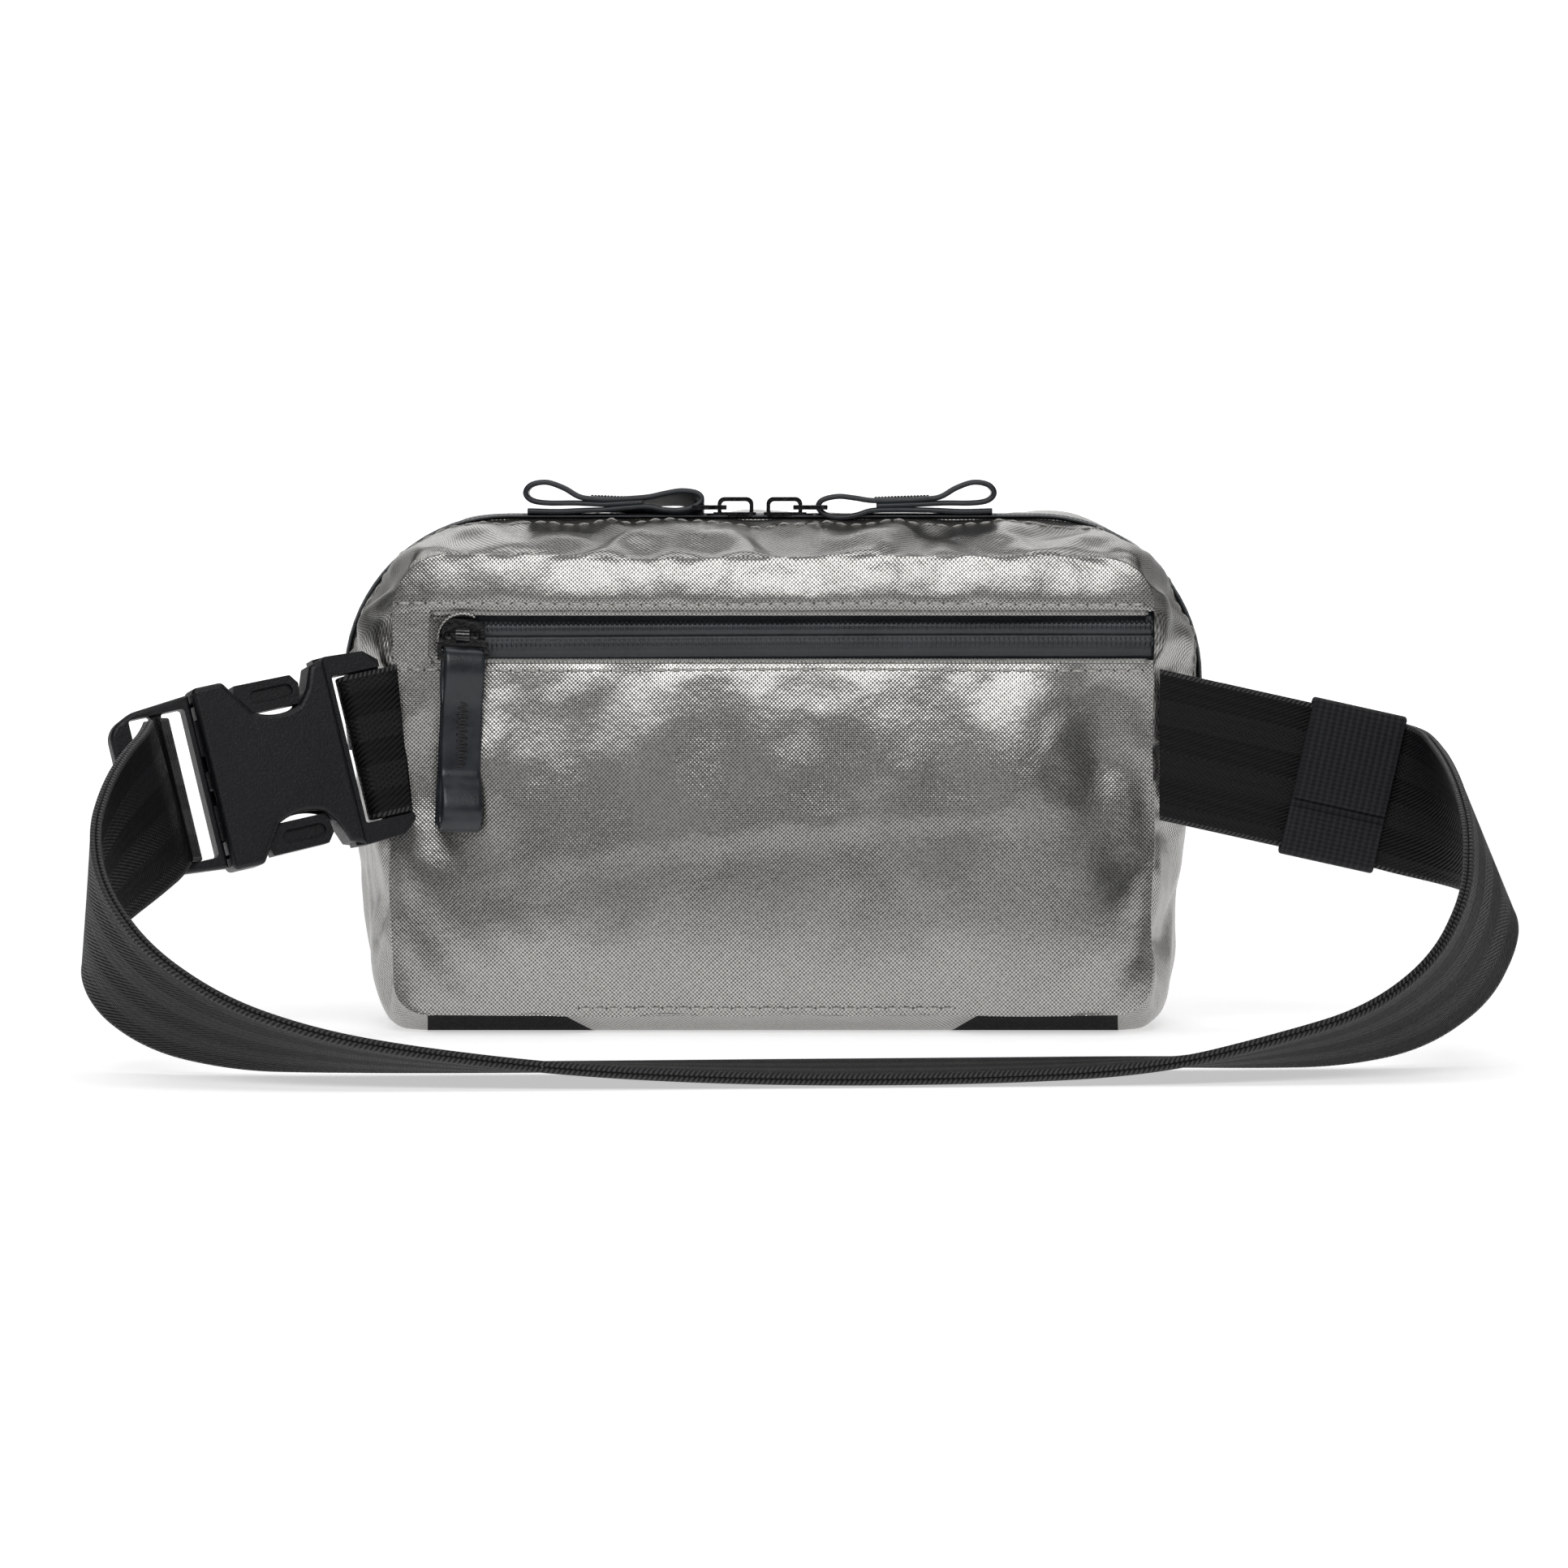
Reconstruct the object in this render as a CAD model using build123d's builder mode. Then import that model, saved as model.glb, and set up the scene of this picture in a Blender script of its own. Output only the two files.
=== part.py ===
"""Zippered waist pack with a webbing waist strap and a side-release buckle.

Row frame, millimetres: +Z up, +X to the right as seen from the wearer's side, +Y away from the wearer.
The wearer's panel lies at Y = 0, the pack stands on Z = 0 and the waist strap loops towards -Y.
"""

from build123d import *
from math import cos, radians, sin
import os

os.makedirs("parts", exist_ok=True)

# ---- pack shell -------------------------------------------------------------
BACK_HALF = 98.0  # half width of the wearer's panel
BACK_LOW = 5.0  # its bottom seam
BACK_HIGH = 123.3  # its top seam
ZIP_HALF = 111.3  # half width at the main zip, the widest outline
ZIP_HIGH = 133.2  # top of the pack at the main zip
ZIP_CORNER = 42.0
FOOT_HALF = 102.0  # half width near the floor
FRONT_Y = 68.0  # depth of the pack
ZIP_Y = 30.0  # where the main zip runs
ZIP_TAPE = 3.0  # coated tape seen each side of the zip line
ZIP_END = 75.0  # height at which the main zip stops on each side
WALL = 1.5
TAPE = 0.8
COIL = 1.4
LIPS = 0.4  # half the gap between the two zip halves

# ---- pocket on the wearer's side --------------------------------------------
POCKET_LOW = 96.4
POCKET_HIGH = 108.9
POCKET_LINE = 103.0
POCKET_LEFT = -88.0
GARAGE_WIDE = 15.0

# ---- webbing and buckle -----------------------------------------------------
WEBBING = 38.0
DOUBLE = 2.8  # two layers of seat-belt webbing
SEAM_X = 99.7  # where the strap comes out of the right side seam
YAW = radians(20)  # the buckle's strap end comes towards the wearer
DROOP = radians(12)  # and hangs lower than its pack end
LEAN = radians(5)  # its upper edge leans away from the wearer

mouth = Vector(-143.3, -20.5, 66.4)
along = Vector(cos(YAW) * cos(DROOP), sin(YAW), cos(YAW) * sin(DROOP))
upright = Vector(-sin(DROOP), 0, cos(DROOP))
facing = along.cross(upright)
across = upright * cos(LEAN) - facing * sin(LEAN)
outward = along.cross(across)
BUCKLE = Plane(origin=mouth, x_dir=along, z_dir=outward)
SECTION = Plane(origin=mouth, x_dir=along, z_dir=across)  # its local y is minus outward


# Each outline: distance from the wearer's panel, half widths at top and foot, floor, top, corners.
# The lowest ones pass just under the floor, where the flat base is cut.
OUTLINES = [
    (0.0, BACK_HALF, BACK_HALF, BACK_LOW, BACK_HIGH, 14.0, 9.0),
    (12.0, 106.5, 101.0, -0.3, 129.0, 28.0, 12.0),
    (ZIP_Y, ZIP_HALF, FOOT_HALF, -0.7, ZIP_HIGH, ZIP_CORNER, 14.0),
    (ZIP_Y + 7.0, ZIP_HALF, FOOT_HALF, -0.7, ZIP_HIGH, ZIP_CORNER, 14.0),
    (FRONT_Y - 8.0, 107.0, FOOT_HALF, -0.5, 129.5, 40.0, 14.0),
    (FRONT_Y, 99.0, 96.0, 5.0, 121.0, 36.0, 12.0),
]


def body(inset, caps):
    """The pack's outer form, drawn in by an inset on its sides and by caps at its two ends."""
    with BuildPart() as form:
        for n, (y, top, foot, low, high, upper, lower) in reversed(list(enumerate(OUTLINES))):
            end = {0: caps, len(OUTLINES) - 1: -caps}.get(n, 0.0)
            with BuildSketch(Plane.XZ.offset(-(y + end))) as ring:
                with BuildLine():
                    Polyline(
                        (-foot + inset, low + inset),
                        (foot - inset, low + inset),
                        (top - inset, 0.62 * high),
                        (top - inset, high - inset),
                        (-top + inset, high - inset),
                        (-top + inset, 0.62 * high),
                        close=True,
                    )
                make_face()
                fillet(ring.vertices().sort_by(Axis.Y)[:2], lower)
                fillet(ring.vertices().sort_by(Axis.Y)[-2:], upper - inset)
        loft()
    return form.part


def slab(x0, x1, y0, y1, z0, z1):
    middle = Pos((x0 + x1) / 2, (y0 + y1) / 2, (z0 + z1) / 2)
    return middle * Box(x1 - x0, y1 - y0, z1 - z0, mode=Mode.PRIVATE)


FAR = 200.0
outer = body(0.0, 0.0) & slab(-FAR, FAR, -FAR, FAR, 0, FAR)
wall_inside = body(WALL, WALL)
tape_inside = body(TAPE, TAPE)
coil_inside = body(TAPE + COIL, TAPE + COIL)

skin = outer - wall_inside
tape_skin = outer - tape_inside
coil_skin = tape_inside - coil_inside

zip_band = slab(-FAR, FAR, ZIP_Y - ZIP_TAPE, ZIP_Y + ZIP_TAPE, ZIP_END, FAR)
zip_gap = slab(-FAR, FAR, ZIP_Y - LIPS, ZIP_Y + LIPS, ZIP_END, FAR)
rear_half = slab(-FAR, FAR, -FAR, ZIP_Y, -FAR, FAR)

# Black corner patches under the pack, wider below than at the seam.
with BuildPart() as patch_zone:
    with BuildSketch(Plane.XZ.offset(0)):
        with BuildLine():
            Polyline((-92.0, BACK_LOW + 2), (-52.0, BACK_LOW + 2), (-44.0, -2), (-90.0, -2), close=True)
        make_face()
    extrude(amount=-FRONT_Y)
left_zone = patch_zone.part & slab(-FAR, FAR, WALL, FRONT_Y - WALL, -FAR, FAR)
right_zone = mirror(left_zone, about=Plane.YZ)

middle_zone = slab(-70, 70, WALL, FRONT_Y - WALL, -1, 8)

with BuildPart() as base_panel:
    add(skin & middle_zone)
    add(left_zone, mode=Mode.SUBTRACT)
    add(right_zone, mode=Mode.SUBTRACT)
    add(slab(-FAR, -60, 0, FRONT_Y, -1, 20), mode=Mode.SUBTRACT)
    add(slab(60, FAR, 0, FRONT_Y, -1, 20), mode=Mode.SUBTRACT)

with BuildPart() as rear_gusset:
    add(skin & slab(-FAR, FAR, WALL, ZIP_Y, -FAR, FAR))
    add(base_panel.part, mode=Mode.SUBTRACT)
    add(zip_band, mode=Mode.SUBTRACT)
    add(left_zone, mode=Mode.SUBTRACT)
    add(right_zone, mode=Mode.SUBTRACT)

with BuildPart() as front_gusset:
    add(skin & slab(-FAR, FAR, ZIP_Y, FRONT_Y - WALL, -FAR, FAR))
    add(base_panel.part, mode=Mode.SUBTRACT)
    add(zip_band, mode=Mode.SUBTRACT)
    add(left_zone, mode=Mode.SUBTRACT)
    add(right_zone, mode=Mode.SUBTRACT)

with BuildPart() as front_panel:
    add(skin & slab(-FAR, FAR, FRONT_Y - WALL, FRONT_Y, -FAR, FAR))

with BuildPart() as base_patch_left:
    add(skin & left_zone)

with BuildPart() as base_patch_right:
    add(skin & right_zone)

# Main zip: two coated tapes with the coils hidden behind them.
with BuildPart() as main_zip_tape_rear:
    add(tape_skin & zip_band & rear_half)
    add(zip_gap, mode=Mode.SUBTRACT)

with BuildPart() as main_zip_tape_front:
    add(tape_skin & zip_band)
    add(rear_half, mode=Mode.SUBTRACT)
    add(zip_gap, mode=Mode.SUBTRACT)

coil_band = slab(-FAR, FAR, ZIP_Y - 2.4, ZIP_Y + 2.4, ZIP_END + 3, FAR)

with BuildPart() as main_zip_coil_rear:
    add(coil_skin & coil_band & rear_half)
    add(zip_gap, mode=Mode.SUBTRACT)

with BuildPart() as main_zip_coil_front:
    add(coil_skin & coil_band)
    add(rear_half, mode=Mode.SUBTRACT)
    add(zip_gap, mode=Mode.SUBTRACT)

# Wearer's panel, above and below the pocket zip.
panel = skin & slab(-FAR, FAR, 0, WALL, -FAR, FAR)

with BuildPart() as back_panel_upper:
    add(panel & slab(-FAR, FAR, -1, 3, POCKET_HIGH, FAR))

with BuildPart() as back_panel_lower:
    add(panel & slab(-FAR, FAR, -1, 3, -FAR, POCKET_HIGH))
    add(slab(POCKET_LEFT, FAR, -1, 3, POCKET_LOW, POCKET_HIGH), mode=Mode.SUBTRACT)

# Pocket zip, set behind the panel.
TAPE_LEFT = POCKET_LEFT - 4
TAPE_RIGHT = BACK_HALF - 3

with BuildPart() as pocket_zip_tape_upper:
    add(slab(TAPE_LEFT, TAPE_RIGHT, WALL, WALL + 0.7, POCKET_LINE + LIPS, POCKET_HIGH + 4))

with BuildPart() as pocket_zip_tape_lower:
    add(slab(TAPE_LEFT, TAPE_RIGHT, WALL, WALL + 0.7, POCKET_LOW - 4, POCKET_LINE - LIPS))

with BuildPart() as pocket_zip_coil_upper:
    add(slab(-86, TAPE_RIGHT - 2, WALL + 0.7, WALL + 2, POCKET_LINE + LIPS, POCKET_LINE + 2.4))

with BuildPart() as pocket_zip_coil_lower:
    add(slab(-86, TAPE_RIGHT - 2, WALL + 0.7, WALL + 2, POCKET_LINE - 2.4, POCKET_LINE - LIPS))

# Fabric cover over the closed end of the pocket zip, open towards the slider.
with BuildPart() as pocket_zip_garage:
    with BuildSketch(Plane.XZ.offset(0.1)):
        with Locations((POCKET_LEFT + GARAGE_WIDE / 2 - 2, (POCKET_LOW + POCKET_HIGH) / 2)):
            Rectangle(GARAGE_WIDE, POCKET_HIGH - POCKET_LOW + 3.4)
        with Locations((-79.0, POCKET_LINE)):
            Circle(6.9, mode=Mode.SUBTRACT)
    extrude(amount=0.9)

# Shallow pocket bag hung behind the panel.
with BuildPart() as pocket_lining:
    with Locations((0, WALL + 3.35, 66.2)):
        Box(178, 6.7, 97)
    with Locations((0, WALL + 3.05, 66.2)):
        Box(176.6, 6.1, 95.6, mode=Mode.SUBTRACT)
    add(slab(TAPE_LEFT, TAPE_RIGHT, 0, WALL + 2, POCKET_LOW - 4, POCKET_HIGH + 4), mode=Mode.SUBTRACT)

# ---- webbing loop that carries the fixed half of the buckle --------------------
BAR_IN = 42.5  # the fixed half's webbing bar, along the buckle
BAR_OUT = 50.0

with BuildPart() as buckle_webbing_loop:
    with BuildSketch(SECTION):
        with Locations((46.45, 0)):
            RectangleRounded(14.1, 6.8, 3.3)
            RectangleRounded(11.3, 4.0, 1.9, mode=Mode.SUBTRACT)
    extrude(amount=18.6, both=True)
    add(slab(-FAR, 0, -0.05, 20, 0, FAR), mode=Mode.SUBTRACT)

# ---- fixed half of the buckle ---------------------------------------------------
MOUTH_HALF = 23.7
THICK_HALF = 5.4
CAVITY_HALF = 20.3

with BuildPart() as buckle_female:
    # Plates and collar. Each long side has a notch that shows the latch button.
    with BuildSketch(BUCKLE) as plate:
        with BuildLine():
            Polyline((0, 0), (0, MOUTH_HALF), (8.2, MOUTH_HALF), (14.4, 14.6))
            ThreePointArc((14.4, 14.6), (20.0, 12.9), (26.6, 14.0))
            Polyline((26.6, 14.0), (29.4, 17.6), (31.5, 23.0), (35.5, 24.4), (35.5, 0), (0, 0))
        make_face()
        mirror(about=Plane.XZ)
        fillet([v for v in plate.vertices() if abs(v.Y) > 12 and v.X < 30], 1.5)
    extrude(amount=THICK_HALF, both=True)
    fillet(buckle_female.faces().filter_by(BUCKLE).edges(), 1.4)
    # Thinner frame that holds the webbing bar.
    with BuildSketch(BUCKLE):
        with BuildLine():
            Polyline((33.0, 0), (33.0, 24.4), (36.8, 24.6), (46.5, 24.0), (50.0, 21.0), (BAR_OUT, 0), (33.0, 0))
        make_face()
        mirror(about=Plane.XZ)
    extrude(amount=3.2, both=True)
    with BuildSketch(BUCKLE):
        with Locations(((37.0 + BAR_IN) / 2, 0)):
            RectangleRounded(BAR_IN - 37.0, 38.6, 0.7)
    extrude(amount=8, both=True, mode=Mode.SUBTRACT)
    # The webbing bar is thinner than its frame.
    for side in (1, -1):
        with BuildSketch(BUCKLE.offset(side * 1.7)):
            with Locations(((BAR_IN + BAR_OUT) / 2 + 0.5, 0)):
                Rectangle(BAR_OUT - BAR_IN + 2, 38.6)
        extrude(amount=side * 4, mode=Mode.SUBTRACT)
    # Room for the latch prongs and the guide.
    with BuildSketch(BUCKLE):
        with Locations((14.0, 0)):
            Rectangle(29.0, 2 * CAVITY_HALF)
    extrude(amount=3.2, both=True, mode=Mode.SUBTRACT)

# ---- sliding half of the buckle, with a ladder of two bars --------------------------
with BuildPart() as buckle_male:
    with BuildSketch(BUCKLE) as frame_face:
        with BuildLine():
            Polyline((-0.5, 0), (-0.5, 22.6), (-16.0, 21.2), (-22.7, 18.0), (-22.7, 0), (-0.5, 0))
        make_face()
        mirror(about=Plane.XZ)
        fillet(frame_face.vertices().sort_by(SortBy.DISTANCE)[-4:], 5.5)
    extrude(amount=2.6, both=True)
    fillet(buckle_male.faces().filter_by(BUCKLE).edges(), 1.1)
    with BuildSketch(BUCKLE):
        with Locations((-5.4, 0)):
            RectangleRounded(6.0, 38.8, 0.9)
        with Locations((-14.2, 0)):
            RectangleRounded(6.0, 38.8, 0.9)
    extrude(amount=5, both=True, mode=Mode.SUBTRACT)
    # The bar between the two slots is slim, and the webbing wraps it.
    for side in (1, -1):
        with BuildSketch(BUCKLE.offset(side * 1.4)):
            with Locations((-9.8, 0)):
                Rectangle(6.2, 38.8)
        extrude(amount=side * 3, mode=Mode.SUBTRACT)
    # Guide that runs into the fixed half, and the feet that the prongs spring from.
    with BuildSketch(BUCKLE):
        with Locations((12.0, 0)):
            RectangleRounded(26.0, 5.2, 2.0)
        for side in (1, -1):
            with Locations((0.2, side * 11.0)):
                Rectangle(3.2, 9.0)
    extrude(amount=2.2, both=True)

PRONG_ROOT = (2.2, 17.4)


def prong(side):
    """Springy arm with its latch button, on the upper (1) or lower (-1) side."""
    with BuildPart() as arm:
        with BuildSketch(BUCKLE) as face:
            with BuildLine():
                Polyline(
                    (0.4, side * 15.9),
                    (0.4, side * 19.3),
                    (10.7, side * 19.3),
                    (11.5, side * 22.2),
                    (26.4, side * 22.0),
                    (28.2, side * 19.6),
                    (27.6, side * 14.4),
                    (12.0, side * 14.4),
                    close=True,
                )
            make_face()
        extrude(amount=2.8, both=True)
        # Recess in the button.
        with BuildSketch(BUCKLE.offset(2.8)):
            with Locations((20.6, side * 18.3)):
                SlotOverall(11.5, 3.6)
        extrude(amount=-1.2, mode=Mode.SUBTRACT)
    return arm.part


with BuildPart() as buckle_prong_upper:
    add(prong(1))

with BuildPart() as buckle_prong_lower:
    add(prong(-1))

# ---- waist strap -----------------------------------------------------------------
# Centre of the doubled webbing, then the direction across it towards its upper edge.
# From the pack's right seam, round the front on the floor, to the sliding half of the buckle.
STRAP = [
    ((95.0, 0.0, 76.0), (0.21, 0.0, 0.98)),
    ((160.0, 0.0, 61.6), (0.21, 0.0, 0.98)),
    ((171.0, -14.0, 58.0), (-0.10, -0.28, 0.95)),
    ((175.5, -37.0, 55.0), (-0.30, -0.39, 0.87)),
    ((177.0, -57.0, 51.0), (-0.40, -0.44, 0.81)),
    ((176.0, -76.0, 43.0), (-0.36, -0.51, 0.78)),
    ((171.0, -91.0, 30.0), (-0.20, -0.62, 0.76)),
    ((158.5, -101.0, 17.4), (0.0, -0.78, 0.63)),
    ((140.0, -107.0, 9.6), (0.09, -0.91, 0.41)),
    ((119.0, -110.0, 6.4), (0.09, -0.96, 0.25)),
    ((90.0, -112.0, 3.1), (0.08, -0.99, 0.05)),
    ((50.0, -114.0, 2.0), (0.07, -1.0, 0.0)),
    ((0.0, -118.0, 2.0), (0.06, -1.0, 0.0)),
    ((-47.0, -122.0, 3.2), (0.03, -1.0, 0.07)),
    ((-89.0, -124.0, 5.8), (0.0, -0.98, 0.21)),
    ((-110.0, -124.0, 8.2), (-0.04, -0.94, 0.33)),
    ((-130.0, -121.0, 12.0), (-0.03, -0.86, 0.51)),
    ((-148.0, -116.0, 19.2), (0.04, -0.72, 0.69)),
    ((-161.0, -106.0, 30.0), (0.13, -0.59, 0.80)),
    ((-166.0, -90.0, 41.5), (0.14, -0.52, 0.84)),
    ((-161.5, -73.0, 51.0), (-0.05, -0.40, 0.91)),
    ((-156.0, -57.0, 58.0), (-0.18, -0.20, 0.96)),
    ((-152.0, -42.0, 62.6), (-0.21, -0.03, 0.98)),
]
SHIFT = across * -0.6  # the webbing lies a little low in the ladder
neck = mouth + along * -12.9 + outward * 9.0 + SHIFT
STRAP = STRAP + [(tuple(neck), tuple(across))]


def strap_sections(route):
    """One plane per stop: local x across the webbing, local z along it."""
    points = [Vector(*p) for p, w in route]
    planes = []
    for n, (p, w) in enumerate(route):
        wide = Vector(*w).normalized()
        ahead = points[min(n + 1, len(points) - 1)] - points[max(n - 1, 0)]
        if n == 0:
            ahead = points[1] - points[0]
        if n == 1:
            ahead = points[1] - points[0]
        if n == len(points) - 1:
            ahead = outward * -1
        planes.append(Plane(origin=points[n], x_dir=wide, z_dir=ahead - wide * ahead.dot(wide)))
    return planes


with BuildPart() as waist_strap:
    for place in strap_sections(STRAP):
        with BuildSketch(place):
            Rectangle(WEBBING - 0.6, DOUBLE)
    loft(ruled=True)
    # Turn round the middle bar of the ladder.
    with BuildSketch(SECTION):
        with Locations((-9.8, 0)):
            Circle(3.55)
        with Locations((-12.9, -5.0)):
            Rectangle(DOUBLE, 8.2)
    extrude(amount=WEBBING / 2 - 0.9, both=True)
    with BuildSketch(SECTION):
        with Locations((-9.8, 0)):
            Circle(2.15)
    extrude(amount=30, both=True, mode=Mode.SUBTRACT)
    # It is sewn into the pack's side seam.
    add(slab(0, SEAM_X, -20, 20, 0, FAR), mode=Mode.SUBTRACT)

# Elastic band that keeps the strap's free end down, lapped on the wearer's side.
KEEPER_WIDE = 24.6
KEEPER_GAP = 0.35
run = (Vector(*STRAP[1][0]) - Vector(*STRAP[0][0])).normalized()
wide = Vector(0.2155, 0, 0.9765)
KEEPER = Plane(origin=Vector(*STRAP[0][0]) + run * 53.0, x_dir=wide, z_dir=run)

with BuildPart() as strap_keeper:
    with BuildSketch(KEEPER):
        Rectangle(WEBBING + 2 * KEEPER_GAP + 2.4, DOUBLE + 2 * KEEPER_GAP + 2.4)
        Rectangle(WEBBING + 2 * KEEPER_GAP, DOUBLE + 2 * KEEPER_GAP, mode=Mode.SUBTRACT)
    extrude(amount=KEEPER_WIDE / 2, both=True)
    with BuildSketch(KEEPER):
        with Locations((7.0, DOUBLE / 2 + KEEPER_GAP + 1.7)):
            Rectangle(27.4, 1.1)
    extrude(amount=KEEPER_WIDE / 2 - 0.2, both=True)

# ---- sliders -------------------------------------------------------------------------
# A slider is made lying on the floor at the origin: travel along +X, zip line at Y = 0,
# tape surface at Z = 0. It is then moved to its place.


GRIP = 7.75  # from a lying tab's pivot to the bar that carries the puller
HANGING_GRIP = 5.4


def slider():
    with BuildPart() as body_part:
        with BuildSketch(Plane.XY.offset(0.15)) as face:
            with BuildLine():
                Polyline((-5.6, 2.8), (-2.0, 4.3), (5.6, 4.3), (5.6, -4.3), (-2.0, -4.3), (-5.6, -2.8), close=True)
            make_face()
            fillet(face.vertices(), 0.9)
        extrude(amount=1.3)
        # Bridge that the tab hangs from.
        with BuildSketch(Plane.XZ) as arch:
            with Locations((0.2, 2.7)):
                RectangleRounded(9.4, 5.4, 1.8)
            with Locations((0.2, 2.6)):
                RectangleRounded(7.4, 3.4, 1.1, mode=Mode.SUBTRACT)
            with Locations((0.2, 0)):
                Rectangle(10, 1.8, mode=Mode.SUBTRACT)
        extrude(amount=0.8, both=True)
        # Web through the gap and the plate behind the coils.
        with Locations((0, 0, -1.2)):
            Box(4.0, 0.5, 4.0)
        with Locations((0, 0, -3.3)):
            Box(10.0, 6.4, 0.9)
    return body_part.part


def tab(hanging):
    """Metal pull, flat along +X from its pivot at the origin to the bar that carries the puller.

    A hanging tab has an eye round the bridge, and any other has a bar that passes under it.
    """
    grip = HANGING_GRIP if hanging else GRIP
    with BuildPart() as link:
        with BuildSketch(Plane.XY) as face:
            with BuildLine():
                Polyline((grip - 5.4, 2.2), (grip - 3.8, 6.6), (grip + 0.65, 6.6), (grip + 0.65, 0), (grip - 5.4, 0))
                Line((grip - 5.4, 0), (grip - 5.4, 2.2))
            make_face()
            if not hanging:
                with Locations(((grip - 5.6) / 2, 1.1)):
                    Rectangle(grip - 4.4, 2.2)
            mirror(about=Plane.XZ)
            if not hanging:
                with Locations((1.4, 0)):
                    Rectangle(2.6, 2.6, mode=Mode.SUBTRACT)
            with Locations((grip - 1.85, 0)):
                Rectangle(2.4, 11.0, mode=Mode.SUBTRACT)
        extrude(amount=0.6, both=True)
        if hanging:
            with BuildSketch(Plane.XZ):
                Circle(1.9)
            extrude(amount=1.8, both=True)
            with BuildSketch(Plane.XZ):
                Circle(1.15)
            extrude(amount=8, both=True, mode=Mode.SUBTRACT)
    return link.part


def puller():
    """Folded strip on the tab's bar at the origin, running along +X, lying on its face."""
    with BuildPart() as strip:
        with BuildSketch(Plane.XZ) as side:
            Circle(2.1)
            with Locations((36.5, 0)):
                Ellipse(6.4, 3.6)
            with Locations((18.0, 0)):
                Rectangle(33.0, 3.0)
            with Locations((38.0, -2.5)):
                Rectangle(9.0, 1.0)
            Circle(1.2, mode=Mode.SUBTRACT)
            with Locations((37.0, 0)):
                Ellipse(4.6, 2.5, mode=Mode.SUBTRACT)
        extrude(amount=5.25, both=True)
    return strip.part


MAIN_TOP = ZIP_HIGH  # outer face of the main zip's tape
PIVOT_UP = 2.7  # a lying tab's pivot above the tape
PIVOT_BACK = 2.7  # and along the slider from its middle
LEFT_AT = -10.0
RIGHT_AT = 3.2
POCKET_AT = -79.5
HANG_OUT = 4.85  # a hanging tab's pivot in front of the tape
RISE = 2.0  # degrees, a lying puller's slope up from the zip
HANG = 1.5  # degrees, a hanging puller's slope away from the panel

left_pivot = (LEFT_AT - PIVOT_BACK, ZIP_Y, MAIN_TOP + PIVOT_UP)
right_pivot = (RIGHT_AT + PIVOT_BACK, ZIP_Y, MAIN_TOP + PIVOT_UP)
left_grip = (left_pivot[0] - GRIP, ZIP_Y, left_pivot[2])
right_grip = (right_pivot[0] + GRIP, ZIP_Y, right_pivot[2])
pocket_pivot = (POCKET_AT, WALL - HANG_OUT, POCKET_LINE)
pocket_grip = (POCKET_AT, WALL - HANG_OUT, POCKET_LINE - HANGING_GRIP)

left_face = Plane(origin=(LEFT_AT, ZIP_Y, MAIN_TOP), x_dir=(1, 0, 0), z_dir=(0, 0, 1))
right_face = Plane(origin=(RIGHT_AT, ZIP_Y, MAIN_TOP), x_dir=(-1, 0, 0), z_dir=(0, 0, 1))
pocket_face = Plane(origin=(POCKET_AT, WALL, POCKET_LINE), x_dir=(-1, 0, 0), z_dir=(0, -1, 0))
hanging_face = Plane(origin=pocket_pivot, x_dir=(0, 0, -1), z_dir=(0, -1, 0))

with BuildPart() as main_slider_left:
    add(left_face.location * slider())

with BuildPart() as main_slider_right:
    add(right_face.location * slider())

with BuildPart() as pocket_slider:
    add(pocket_face.location * slider())

with BuildPart() as main_tab_left:
    add(Pos(*left_pivot) * Rot(0, 0, 180) * tab(False))

with BuildPart() as main_tab_right:
    add(Pos(*right_pivot) * tab(False))

with BuildPart() as pocket_tab:
    add(hanging_face.location * tab(True))

with BuildPart() as main_puller_left:
    add(Pos(*left_grip) * Rot(0, 0, 180) * Rot(0, -RISE, 0) * puller())

with BuildPart() as main_puller_right:
    add(Pos(*right_grip) * Rot(0, -RISE, 0) * puller())

with BuildPart() as pocket_puller:
    add(Pos(*pocket_grip) * Plane(origin=(0, 0, 0), x_dir=(0, 0, -1), z_dir=(0, -1, 0)).location * Rot(0, -HANG, 0) * puller())

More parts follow.
